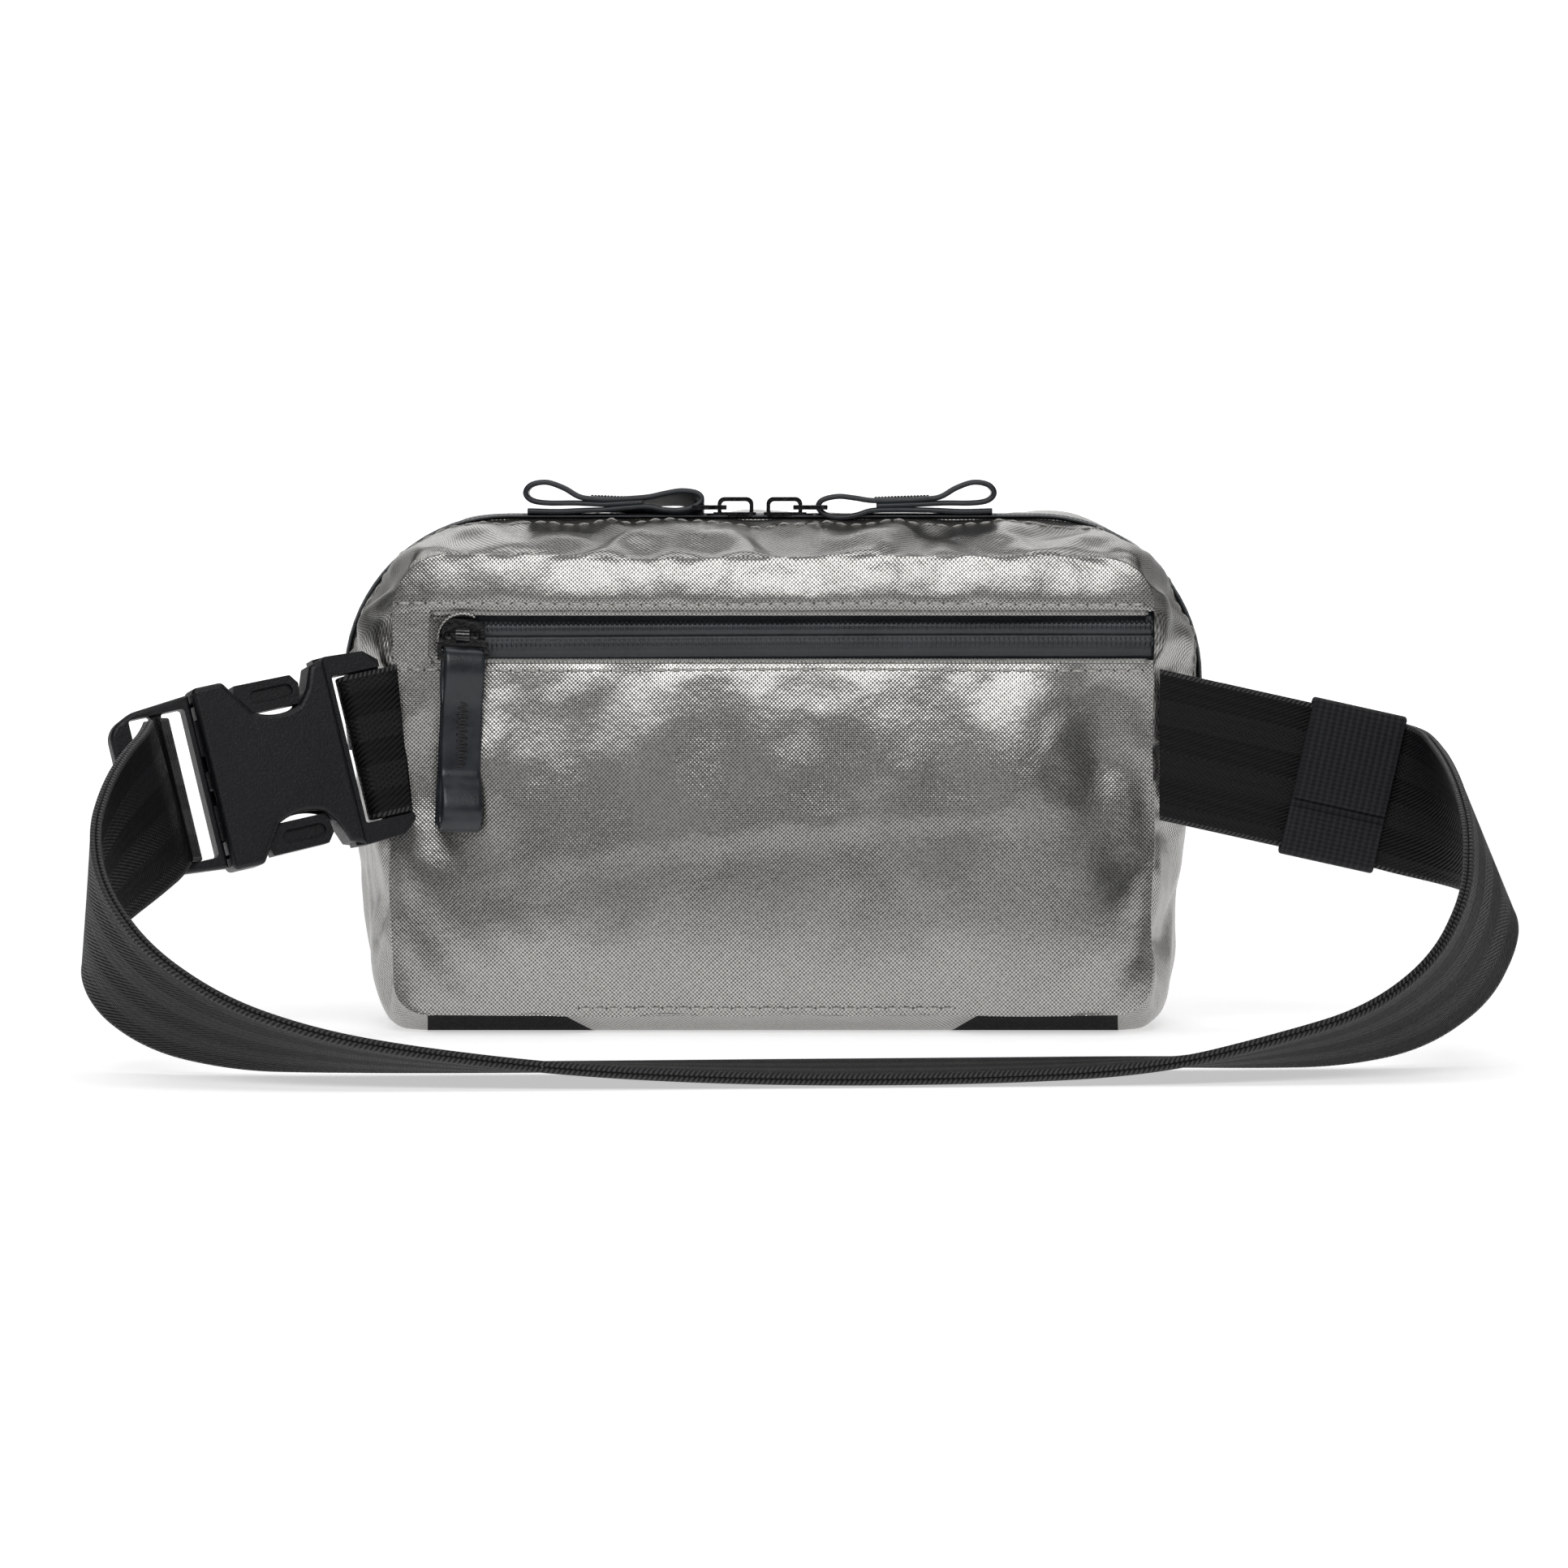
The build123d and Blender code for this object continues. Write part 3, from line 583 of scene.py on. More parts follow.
RINGS = np.array([full_outline(shape) for shape in OUTLINES])
DEPTHS = np.array([shape[0] for shape in OUTLINES])
COLUMNS = RINGS.shape[1]
TOP_COLUMN = sum(COUNTS)


def stretch_of(steps, value):
    """The number of the stretch between two steps that holds a value."""
    return min(max(int(np.searchsorted(steps, value, side="right")) - 1, 0), len(steps) - 2)


def outline_at(y):
    """The ring at any depth, smooth through the given ones."""
    slopes = np.gradient(RINGS, DEPTHS, axis=0)
    n = stretch_of(DEPTHS, y)
    span = DEPTHS[n + 1] - DEPTHS[n]
    t = (y - DEPTHS[n]) / span
    h00, h10 = 2 * t ** 3 - 3 * t * t + 1, t ** 3 - 2 * t * t + t
    h01, h11 = -2 * t ** 3 + 3 * t * t, t ** 3 - t * t
    return h00 * RINGS[n] + h10 * span * slopes[n] + h01 * RINGS[n + 1] + h11 * span * slopes[n + 1]


ROWS = [0, 1.3, 3.2, 5.6, 8.2, 10.8, 13.4, 16, 18.6, 21.2, 23.6, 25.4, 27, 28.5, 30, 31.5, 33,
        34.6, 36.8, 39.4, 42, 44.6, 47.2, 49.8, 52.4, 55, 57.6, 60.2, 62.6, 64.8, 66.6, 68]
REAR_EDGE, ZIP_ROW, FRONT_EDGE = ROWS.index(27), ROWS.index(30), ROWS.index(33)
shell = np.zeros((len(ROWS), COLUMNS, 3))
for i, y in enumerate(ROWS):
    ring = outline_at(y)
    shell[i, :, 0] = ring[:, 0]
    shell[i, :, 1] = y
    shell[i, :, 2] = np.maximum(ring[:, 1], 0.0)

SEAM_COLUMNS = (starts[4], COLUMNS - starts[4])
ZIP_COLUMNS = (starts[5], COLUMNS - starts[5])


def folded(column):
    """A column's place on half the outline, whichever side it is on."""
    return column if column <= TOP_COLUMN else COLUMNS - column


def panel_half(z, y, top, foot, low, high, upper, lower):
    """Half width of a flat panel at height z, with its rounded corners."""
    shoulder = SHOULDER * high
    half = top + (foot - top) * min(max((z - shoulder) / (low - shoulder), 0), 1)
    if z > high - upper:
        half = top - upper + (max(upper ** 2 - (z - high + upper) ** 2, 0)) ** 0.5
    if z < low + lower:
        half = half - lower + (max(lower ** 2 - (low + lower - z) ** 2, 0)) ** 0.5
    return half


def panel_grid(levels, shape, columns=75):
    points = np.zeros((len(levels), columns, 3))
    for i, z in enumerate(levels):
        points[i] = (0, shape[0], z)
        points[i, :, 0] = np.linspace(-1, 1, columns) * panel_half(z, *shape)
    return points


def levels_between(low, high, step, round_low=0.0, round_high=0.0):
    """Heights from low to high, closer together on the rounded corners."""
    out, tail = [], []
    if round_low:
        out = [low + round_low * (1 - cos(a)) for a in np.linspace(0, pi / 2, 8)[:-1]]
        low = low + round_low
    if round_high:
        tail = [high - round_high * (1 - cos(a)) for a in np.linspace(0, pi / 2, 9)[:-1]][::-1]
        high = high - round_high
    count = max(1, int(round((high - low) / step)))
    return out + list(np.linspace(low, high, count + 1)) + tail


CLOTH_SETTINGS = {
    "quality": 6, "mass": 0.25, "tension_stiffness": 40, "compression_stiffness": 30, "shear_stiffness": 12,
    "bending_stiffness": 0.6, "tension_damping": 12, "compression_damping": 12, "shear_damping": 12,
    "air_damping": 2, "vertex_group_mass": "held", "use_pressure": True,
}
CLOTH_FRAMES = 16


def cloth(name, points, closed, pins, pressure, grow, cap, outward):
    """Lets a sheet of the shell puff and pucker between its pinned seams, and gives its new points.

    points is a grid in millimetres, pins the same grid of weights, grow how much longer the cut cloth
    is than the form it is sewn to, and cap the furthest that a point may move.
    """
    rows, columns = points.shape[:2]
    sheet = mesh_object(name + "_work", points.reshape(-1, 3), grid_faces(rows, columns, closed))
    mesh = sheet.data
    mesh.calc_loop_triangles()
    middle = mesh.polygons[(rows // 2) * (columns if closed else columns - 1) + columns // 3]
    if np.dot(middle.normal, outward(np.array(middle.center))) < 0:
        mesh.flip_normals()
    group = sheet.vertex_groups.new(name="held")
    for index, weight in enumerate(pins.ravel()):
        if weight > 0:
            group.add([index], float(weight), "REPLACE")
    work = sheet.modifiers.new("cloth", "CLOTH")
    for key, value in CLOTH_SETTINGS.items():
        setattr(work.settings, key, value)
    work.settings.uniform_pressure_force = pressure
    work.settings.shrink_min = -grow
    work.settings.effector_weights.gravity = 0
    work.collision_settings.use_collision = False
    work.point_cache.frame_start = 1
    work.point_cache.frame_end = CLOTH_FRAMES
    for number in range(1, CLOTH_FRAMES + 1):
        scene.frame_set(number)
    seen = sheet.evaluated_get(bpy.context.evaluated_depsgraph_get())
    flat = np.zeros(rows * columns * 3, np.float32)
    seen.data.vertices.foreach_get("co", flat)
    new = from_row(flat.reshape(-1, 3))
    bpy.data.objects.remove(sheet)
    scene.frame_set(1)
    move = new.reshape(points.shape) - points
    length = np.linalg.norm(move, axis=2, keepdims=True)
    return points + move * np.minimum(1.0, cap / np.maximum(length, 1e-9))


def cells(points):
    """Row and column of every point of a grid."""
    return np.ndindex(points.shape[:2])


# Gussets: held at both panel seams, at the zip, under the base and at the two side seams.
pins = np.zeros((len(ROWS), COLUMNS))
pins[[0, -1]] = 1
for j in range(COLUMNS):
    if folded(j) <= starts[2] + 2:
        pins[:, j] = 1
    if folded(j) >= starts[5]:
        pins[REAR_EDGE:FRONT_EDGE + 1, j] = 1
pins[:, SEAM_COLUMNS] = 0.85
# A faint uneven start, so that the cloth has somewhere to buckle.
rough_start = shell.copy()
for i, j in cells(shell):
    if pins[i, j] == 0:
        p = shell[i, j]
        rough_start[i, j] += unit((p[0], 0, p[2] - MIDDLE_Z)) * 0.7 * noise.noise(Vector(p) * 0.075)
sewn = cloth("gusset", rough_start, True, pins, 2.0, 0.032, 4.0,
             lambda c: np.array((c[0], 0, c[2] - MIDDLE_Z / 1000)))

# Folds that fan out from the panel's upper corners: height, angle, how it drifts with depth, width.
CORNER_FOLDS = [(-2.6, 0.86, 0.012, 0.075), (1.9, 0.66, 0.012, 0.11), (1.3, 1.06, 0.010, 0.09),
                (-1.2, 0.30, 0.0, 0.07), (0.8, 0.16, 0.0, 0.08)]
# Where the seam itself is pinched towards the wearer there: height, angle, width.
CORNER_LIPS = [(4.6, 0.92, 0.20), (3.6, 0.46, 0.13), (1.8, 1.25, 0.12)]


def pinch(points):
    """Folds that run from the panel's upper corners out to the zip, and the pinched seam they start at."""
    out = points.copy()
    for i, j in cells(points):
        share = ROWS[i] / (ZIP_Y - ZIP_TAPE)
        if share >= 1.0 or folded(j) < starts[6]:
            continue
        y = ROWS[i]
        fade = sin(pi * share) ** 0.7 * (1 - share ** 3)
        x, z = points[i, j, 0], points[i, j, 2]
        angle = atan2(z - 80, abs(x) - 62)
        fold = sum(high * bell(angle - at + drift * y, wide) for high, at, drift, wide in CORNER_FOLDS)
        lip = sum(high * bell(angle - at, wide) for high, at, wide in CORNER_LIPS)
        out[i, j, 1] -= lip * bell(y - 4.6, 2.9)
        out[i, j] += unit((x * 0.8, 0, z - MIDDLE_Z)) * fold * fade
    return out


def crumple(points, calm_inside=False):
    """A slow vector noise, the same for every piece, so that seams stay together and wander a little.

    The wearer's panels take less of it away from their seams.
    """
    amount, size, seed = 1.5, 26.0, Vector((2.0, 2.0, 2.0))
    out = points.copy()
    for i, j in cells(points):
        p = points[i, j]
        calm = 1.0 - bell(p[1] - ZIP_Y, 9.0) * bell(min(0.0, p[2] - 120.0), 25.0)
        calm *= min(1.0, max(p[2], 0.0) / 12.0)
        if calm_inside:
            inward = min(PANEL_HALF - abs(p[0]), p[2] - PANEL_FOOT, 122.0 - p[2])
            calm *= 1.0 - 0.90 * min(1.0, max(inward, 0.0) / 20.0)
        out[i, j] = p + np.array(noise.noise_vector(Vector(p) / size + seed)) * amount * calm
    return out


def edges_held(points):
    held = np.zeros(points.shape[:2])
    held[[0, -1]] = 1.0
    held[:, [0, -1]] = 1.0
    return held


def stuffed(name, levels, shape, bumps, pressure, grow, cap, way=-1):
    """A flat panel after its cloth run; bumps are the amount, size and seed of its uneven start."""
    start = panel_grid(levels, shape)
    amount, size, seed = bumps
    held = edges_held(start)
    for i, j in cells(start):
        if held[i, j] == 0:
            start[i, j, 1] += amount * noise.noise(Vector(start[i, j]) / size + Vector((0, seed, 0)))
    return cloth(name, start, False, held, pressure, grow, cap, lambda c: np.array((0, way, 0)))


low_levels = levels_between(PANEL_FOOT, POCKET_LOW, 2.7, round_low=9.0)
high_levels = [POCKET_HIGH] + levels_between(POCKET_HIGH + 0.6, PANEL_TOP, 3.0, round_high=13.4)
front_levels = levels_between(5.0, 121.0, 2.8, round_low=12.0, round_high=36.0)
panel_low = stuffed("panel_low", low_levels, REAR_SHAPE, (0.3, 17.0, 3.0), 0.3, 0.004, 1.2)
panel_high = stuffed("panel_high", high_levels, REAR_SHAPE, (0.4, 11.0, 7.0), 0.6, 0.012, 1.2)
panel_front = stuffed("panel_front", front_levels, FRONT_SHAPE, (0.9, 16.0, 11.0), 0.9, 0.016, 6.0, way=1)

# Dents (and, below nought, swellings) of the wearer's panel: depth, then middle and width across and up.
PANEL_DENTS = [
    (3.2, -87, 6, 66, 20), (-1.3, -73, 6, 64, 18), (0.9, -76, 7, 38, 10), (-0.5, -60, 8, 40, 12),
    (1.3, -62, 6, 82, 13), (3.0, 84, 8, 72, 20), (-1.3, 66, 9, 70, 18), (1.2, 90, 5, 44, 8),
    (-0.8, 34, 12, 78, 20),
]
BELLY_Z = 39.0  # height at which the panel stands out furthest


def belly(points):
    """The panel's full belly with one soft fold across it, and its dents beside the side seams."""
    out = points.copy()
    for i, j in cells(points):
        x, y, z = points[i, j]
        side = max(0.0, 1 - (abs(x) / PANEL_HALF) ** 8)
        reach = 58.5 if z > BELLY_Z else 36.0
        move = -5.8 * max(0.0, 1 - ((z - BELLY_Z) / reach) ** 2) * side
        fold_z = 51.5 + 0.11 * x - 0.0006 * x * x
        ends = 1 / (1 + np.exp((abs(x - 2) - 72) / 6.0))
        move += ends * (0.35 * bell(z - fold_z + 4.0, 6.5) - 0.32 * bell(z - fold_z - 2.2, 3.6))
        for deep, at_x, wide, at_z, tall in PANEL_DENTS:
            move += deep * bell(x - at_x, wide) * bell(z - at_z, tall)
        rim = min(1.0, (PANEL_HALF - abs(x)) / 6.0 + 0.02) * min(1.0, max(0.0, POCKET_LOW - z) / 2.5)
        out[i, j, 1] = 0.8 * y + move * max(rim, 0.0)
    return out


def brow(points):
    """The strip above the pocket rolls back towards the top seam, with slow upright ripples."""
    out = points.copy()
    for i, j in cells(points):
        x, y, z = points[i, j]
        t = min(max((z - POCKET_HIGH) / (PANEL_TOP - POCKET_HIGH), 0.0), 1.0)
        side = max(0.0, 1 - (abs(x) / 97.0) ** 8)
        roll = 3.3 * (1 - t) * (1 + 0.45 * t) * min(1.0, t * 6 + 0.35)
        ripple = 0.30 * noise.noise(Vector((x / 9.0, 4.0, z / 22.0)))
        ripple += 0.25 * noise.noise(Vector((x / 21.0, 9.0, 0)))
        out[i, j, 1] = y * 0.5 - (roll + ripple * sin(pi * t) * 1.6) * side * (1 - t ** 8)
    return out


sewn = crumple(pinch(sewn))
panel_low = crumple(belly(panel_low), True)
panel_high = crumple(brow(panel_high), True)
panel_front = crumple(panel_front)
for panel in (panel_low, panel_high):
    panel[1:-1, 1:-1, 1] = np.minimum(panel[1:-1, 1:-1, 1], 0.9)
# Near the zip the gussets go back to the CAD's form, so that the sliders run clear of the cloth.
for i, y in enumerate(ROWS):
    held = min(1.0, 1.1 * bell(y - ZIP_Y, 9.0)) if y > ZIP_Y else 0.94 * bell(y - ZIP_Y, 6.5)
    sewn[i] = sewn[i] * (1 - held) + shell[i] * held
sewn[:, :, 2] = np.maximum(sewn[:, :, 2], 0.0)


def piece_from(points, uv, name, keep=lambda i, j: True, closed=False, flip=False):
    """The faces of a grid that keep says yes to, as their own softened object."""
    rows, columns = points.shape[:2]
    flat, flat_uv = points.reshape(-1, 3), uv.reshape(-1, 2)
    total = arc_lengths(np.vstack([points[rows // 2], points[rows // 2][:1]]))[-1]
    faces, corners, used = [], [], {}
    for i in range(rows - 1):
        for j in range(columns if closed else columns - 1):
            if not keep(i, j):
                continue
            k = (j + 1) % columns
            face = [i * columns + j, i * columns + k, (i + 1) * columns + k, (i + 1) * columns + j]
            pairs = [list(flat_uv[f]) for f in face]
            if k == 0:
                pairs[1][0] = pairs[2][0] = total
            if flip:
                face, pairs = face[::-1], pairs[::-1]
            faces.append([used.setdefault(f, len(used)) for f in face])
            corners += pairs
    order = sorted(used, key=used.get)
    return soften(mesh_object(name, flat[order], faces, corners))


def soften(obj):
    smooth = obj.modifiers.new("soft", "SUBSURF")
    smooth.levels = smooth.render_levels = 1
    smooth.boundary_smooth = "PRESERVE_CORNERS"
    return obj


def zipped(j):
    return folded(j) >= starts[5] and folded(j + 1) >= starts[5]


def in_base(j):
    edge = starts[2]
    return folded(j) < edge and folded(j + 1) <= edge or (j >= TOP_COLUMN and folded(j) <= edge)


def in_patch(j):
    f = min(folded(j), folded(j + 1) if j + 1 <= COLUMNS else 0)
    return in_base(j) and starts[1] <= f < starts[2]


SHELL_PARTS = {
    "rear_gusset": lambda i, j: not in_base(j) and (i < REAR_EDGE or (i < ZIP_ROW and not zipped(j))),
    "front_gusset": lambda i, j: not in_base(j) and (i >= FRONT_EDGE or (i >= ZIP_ROW and not zipped(j))),
    "base_panel": lambda i, j: in_base(j) and not in_patch(j),
    "base_patch_left": lambda i, j: in_patch(j) and j > TOP_COLUMN,
    "base_patch_right": lambda i, j: in_patch(j) and j < TOP_COLUMN,
}
# The shell's cloth coordinates run round its middle row, and from the panel to the front.
sewn_uv = np.zeros((len(ROWS), COLUMNS, 2))
sewn_uv[:, :, 0] = arc_lengths(sewn[len(ROWS) // 2])
sewn_uv[:, :, 1] = np.array(ROWS)[:, None] * 1.12
SKINS = {}
for name, keep in SHELL_PARTS.items():
    made = piece_from(sewn, sewn_uv, "skin_" + name, keep, closed=True, flip=True)
    if "patch" in name:
        finish_piece(made, BASE_CLOTH, "bag", "black_base_fabric", name)
    else:
        grey_piece(made, name)

PANELS = {"back_panel_lower": panel_low, "back_panel_upper": panel_high, "front_panel": panel_front}
for name, points in PANELS.items():
    made = piece_from(points, points[:, :, [0, 2]], "skin_" + name, flip=name == "front_panel")
    SKINS[name] = grey_piece(made, name)

# Strip of the wearer's panel beside the closed end of the pocket zip.
end_grid = np.zeros((6, 8, 3))
for i, z in enumerate(np.linspace(POCKET_LOW, POCKET_HIGH, 6)):
    end_grid[i, :, 0] = np.linspace(-panel_half(z, *REAR_SHAPE), POCKET_LEFT + 1.0, 8)
    end_grid[i, :, 2] = z
end_grid = crumple(end_grid, True)
end_piece = grey_piece(piece_from(end_grid, end_grid[:, :, [0, 2]], "skin_pocket_end"))


# ------------------------------------------------------- seams, hems, stitches

bpy.context.view_layer.update()


def tree_of(*objs):
    points, faces = [], []
    for obj in objs:
        seen = obj.evaluated_get(bpy.context.evaluated_depsgraph_get())
        mesh = seen.to_mesh()
        base = len(points)
        points += [v.co.copy() for v in mesh.vertices]
        faces += [tuple(base + v for v in p.vertices) for p in mesh.polygons]
        seen.to_mesh_clear()
    return BVHTree.FromPolygons(points, faces)


PANEL_TREE = tree_of(SKINS["back_panel_lower"], SKINS["back_panel_upper"], end_piece)
FRONT_TREE = tree_of(SKINS["front_panel"])


def on_panel(x, z, tree=PANEL_TREE, side=1):
    """The panel's cloth at x, z and its outward direction; side is 1 from the wearer, -1 from the front."""
    start = row_point(x, -60.0 if side > 0 else 140.0, z)
    hit = tree.ray_cast(start, Vector((0, side, 0)))
    if hit[0] is None:
        return np.array((x, 0.0 if side > 0 else 68.0, z)), np.array((0.0, -side, 0.0))
    normal = np.array(hit[1])
    return from_row(hit[0]), -normal if normal[1] * side > 0 else normal


def on_gusset(y, column):
    """A point of the gussets' cloth, with its outward direction."""
    n = stretch_of(ROWS, y)
    t = (y - ROWS[n]) / (ROWS[n + 1] - ROWS[n])
    p = sewn[n, column] * (1 - t) + sewn[n + 1, column] * t
    ahead = sewn[n, (column + 1) % COLUMNS] - sewn[n, column - 1]
    out = unit(np.cross(sewn[n + 1, column] - sewn[n, column], ahead))
    return p, -out if np.dot(out, (p[0], 0, p[2] - MIDDLE_Z)) < 0 else out


def sewing(found, pitch, length):
    """A run of sewing through points that come with their outward directions."""
    return [p for p, out in found], [out for p, out in found], pitch, length


ZIP_RANGE = range(ZIP_COLUMNS[0], ZIP_COLUMNS[1] + 1)
panel_seams = [
    ([(x, 111.2 + 0.25 * sin(x / 17)) for x in np.linspace(-96.5, 96.5, 90)], 3.7, 3.0),
    ([(x, 94.2 + 0.2 * sin(x / 21 + 1)) for x in np.linspace(-97, 97, 90)], 3.7, 3.0),
    ([(x, 7.0) for x in np.linspace(-50, 50, 40)], 3.6, 2.4),
]
runs = [sewing([on_panel(x, z) for x, z in line], pitch, length) for line, pitch, length in panel_seams]
gusset_runs = [sewing([on_gusset(depth, c) for c in ZIP_RANGE], 3.8, 3.0) for depth in (22.4, 37.6)]
for column in (SEAM_COLUMNS[0] + 1, SEAM_COLUMNS[1] - 1):
    gusset_runs.append(sewing([on_gusset(y, column) for y in np.linspace(2, 66, 26)], 4.2, 2.8))
front_ring = full_outline(FRONT_SHAPE)
front_ring = np.vstack([front_ring, front_ring[:1]])
front_ring = front_ring - units(front_ring - (0.0, 62.0)) * 3.6
gusset_runs.append(sewing([on_panel(x, z, FRONT_TREE, -1) for x, z in front_ring], 3.8, 3.0))
for obj, material in (
        (stitches("topstitching", runs, 0.40, -0.06), GREY_THREAD),
        (stitches("topstitching_gusset", gusset_runs, 0.28, 0.06), GREY_THREAD),
        # Dark cones as painted shade at each stitch end.
        (painted_hole_shades("painted_hole_shades", runs + gusset_runs), HOLE_SHADE)):
    finish_piece(obj, material, "bag", "coated_grey_nylon")

# Folded hems at the pocket opening and beside the main zip.
for name, edge, way in (("hem_pocket_upper", POCKET_HIGH, 1), ("hem_pocket_lower", POCKET_LOW, -1)):
    z = edge - 0.1 * way
    line = [(x, on_panel(x, z + 0.5 * way)[0][1] + 0.15, z) for x in np.linspace(POCKET_LEFT, 96.5, 120)]
    grey_piece(tube(name, line, 0.75, 10))
for name, depth in (("hem_zip_rear", ROWS[REAR_EDGE]), ("hem_zip_front", ROWS[FRONT_EDGE] - 0.001)):
    found = [on_gusset(depth, c) for c in ZIP_RANGE]
    grey_piece(tube(name, [p - out * 0.40 for p, out in found], 0.62))


# --------------------------------------------------------------------- zips


def zip_film_piece(name, node, frames_along, low, high, steps, fall=0.0):
    """One half of a zip: film with its raised coil ridge. frames_along gives point, across, out."""
    points, uvs = [], []
    lengths = arc_lengths(np.array([f[0] for f in frames_along]))
    for (p, across, out), s in zip(frames_along, lengths):
        for d in np.linspace(low, high, steps):
            a = abs(d)
            ridge = 0.55 * bell(a - 2.0, 1.25)
            lip = -0.9 * bell(a, 0.28)
            back = -fall * (max(0.0, a - 5.6) + 0.27 * max(0.0, d) + 0.05 * max(0.0, -d))
            points.append(p + across * d + out * (ridge + lip + back))
            uvs.append((s, d))
    obj = thicken(mesh_object(name, points, grid_faces(len(frames_along), steps), uvs), 0.0005)
    return finish_piece(obj, FILM, "bag", "coated_zip_tape", node)


def thicken(obj, metres):
    thick = obj.modifiers.new("thick", "SOLIDIFY")
    thick.thickness = metres
    thick.offset = -1
    return obj


SLIT = 0.12  # half the gap between a zip's two films
UP, BACK, WEARER = np.array((0.0, 0.0, 1.0)), np.array((0.0, 1.0, 0.0)), np.array((0.0, -1.0, 0.0))
pocket_frames, main_frames = [], []
for x in np.linspace(-87.2, 98.2, 190):
    p = np.array((x, 1.15 + 0.25 * sin(x / 30), POCKET_LINE + 0.35 * sin((x + 40) / 70)))
    pocket_frames.append((p, UP, WEARER))
for c in range(ZIP_COLUMNS[0] - 1, ZIP_COLUMNS[1] + 2):
    p, out = on_gusset(ZIP_Y, c)
    main_frames.append((p + out * 0.60, BACK, out))
zip_film_piece("film_pocket_upper", "pocket_zip_tape_upper", pocket_frames, SLIT, 9.0, 34, 1.0)
zip_film_piece("film_pocket_lower", "pocket_zip_tape_lower", pocket_frames, -9.0, -SLIT, 34, 1.0)
zip_film_piece("film_main_rear", "main_zip_tape_rear", main_frames, -4.2, -SLIT, 16)
zip_film_piece("film_main_front", "main_zip_tape_front", main_frames, SLIT, 4.2, 16)

# C-shaped cloth cover at the closed end of the pocket zip: from its round opening out to its square rim.
GARAGE_X, GARAGE_Z = -79.6, POCKET_LINE - 0.3
OPEN_X, OPEN_Z, FAR_X, FAR_Z = 6.4, 6.0, 9.4, 6.4
garage_points, rings = [], 7
for angle in np.radians(np.linspace(62, 298, 33)):
    c, s = cos(angle), sin(angle)
    inner = np.array((GARAGE_X + OPEN_X * c, GARAGE_Z + OPEN_Z * s))
    reach = min(FAR_X / max(abs(c), 1e-6), FAR_Z / max(abs(s), 1e-6))
    outer = np.array((GARAGE_X + reach * c, GARAGE_Z + reach * s))
    for t in np.linspace(0, 1, rings):
        x, z = inner + (outer - inner) * t
        lift = 0.95 * bell(t, 0.35) - 0.45 * t
        garage_points.append((x, -0.95 - lift + 0.55 * t * t, z))
garage_uv = [(x, z) for x, y, z in garage_points]
garage = mesh_object("cloth_pocket_garage", garage_points, grid_faces(33, rings), garage_uv)
grey_piece(soften(thicken(garage, 0.0007)), "pocket_zip_garage")
rim = [(GARAGE_X + OPEN_X * cos(a), -2.1, GARAGE_Z + OPEN_Z * sin(a))
       for a in np.radians(np.linspace(60, 300, 40))]
grey_piece(tube("hem_pocket_garage", rim, 0.5))


# ------------------------------------------------------------- straps, buckle

YAW, DROOP, LEAN = radians(20), radians(12), radians(5)
mouth = np.array((-143.3, -20.5, 66.4))
along = np.array((cos(YAW) * cos(DROOP), sin(YAW), cos(YAW) * sin(DROOP)))
upright = np.array((-sin(DROOP), 0, cos(DROOP)))
across = upright * cos(LEAN) - np.cross(along, upright) * sin(LEAN)
outward = np.cross(along, across)

# The waist strap's line: the middle of the doubled webbing, then the direction across it.
STRAP = [
    ((95.0, 0.0, 76.0), (0.21, 0.0, 0.98)),
    ((150.0, 0.0, 63.8), (0.21, 0.0, 0.98)),
    ((160.0, 0.0, 61.6), (0.21, 0.0, 0.98)),
    ((171.0, -14.0, 58.0), (-0.10, -0.28, 0.95)),
    ((175.5, -37.0, 55.0), (-0.30, -0.39, 0.87)),
    ((177.0, -57.0, 51.0), (-0.40, -0.44, 0.81)),
    ((176.0, -76.0, 43.0), (-0.36, -0.51, 0.78)),
    ((171.0, -91.0, 30.0), (-0.20, -0.62, 0.76)),
    ((158.5, -101.0, 17.4), (0.0, -0.78, 0.63)),
    ((140.0, -107.0, 9.6), (0.09, -0.91, 0.41)),
    ((119.0, -110.0, 6.4), (0.09, -0.96, 0.25)),
    ((90.0, -112.0, 3.1), (0.08, -0.99, 0.05)),
    ((50.0, -114.0, 2.0), (0.07, -1.0, 0.0)),
    ((0.0, -118.0, 2.0), (0.06, -1.0, 0.0)),
    ((-47.0, -122.0, 3.2), (0.03, -1.0, 0.07)),
    ((-89.0, -124.0, 5.8), (0.0, -0.98, 0.21)),
    ((-110.0, -124.0, 8.2), (-0.04, -0.94, 0.33)),
    ((-130.0, -121.0, 12.0), (-0.03, -0.86, 0.51)),
    ((-148.0, -116.0, 19.2), (0.04, -0.72, 0.69)),
    ((-161.0, -106.0, 30.0), (0.13, -0.59, 0.80)),
    ((-166.0, -90.0, 41.5), (0.14, -0.52, 0.84)),
    ((-161.5, -73.0, 51.0), (-0.05, -0.40, 0.91)),
    ((-156.0, -57.0, 58.0), (-0.18, -0.20, 0.96)),
    ((-152.0, -42.0, 62.6), (-0.21, -0.03, 0.98)),
    (tuple(mouth - 12.9 * along + 9.0 * outward - 0.6 * across), tuple(across)),
]


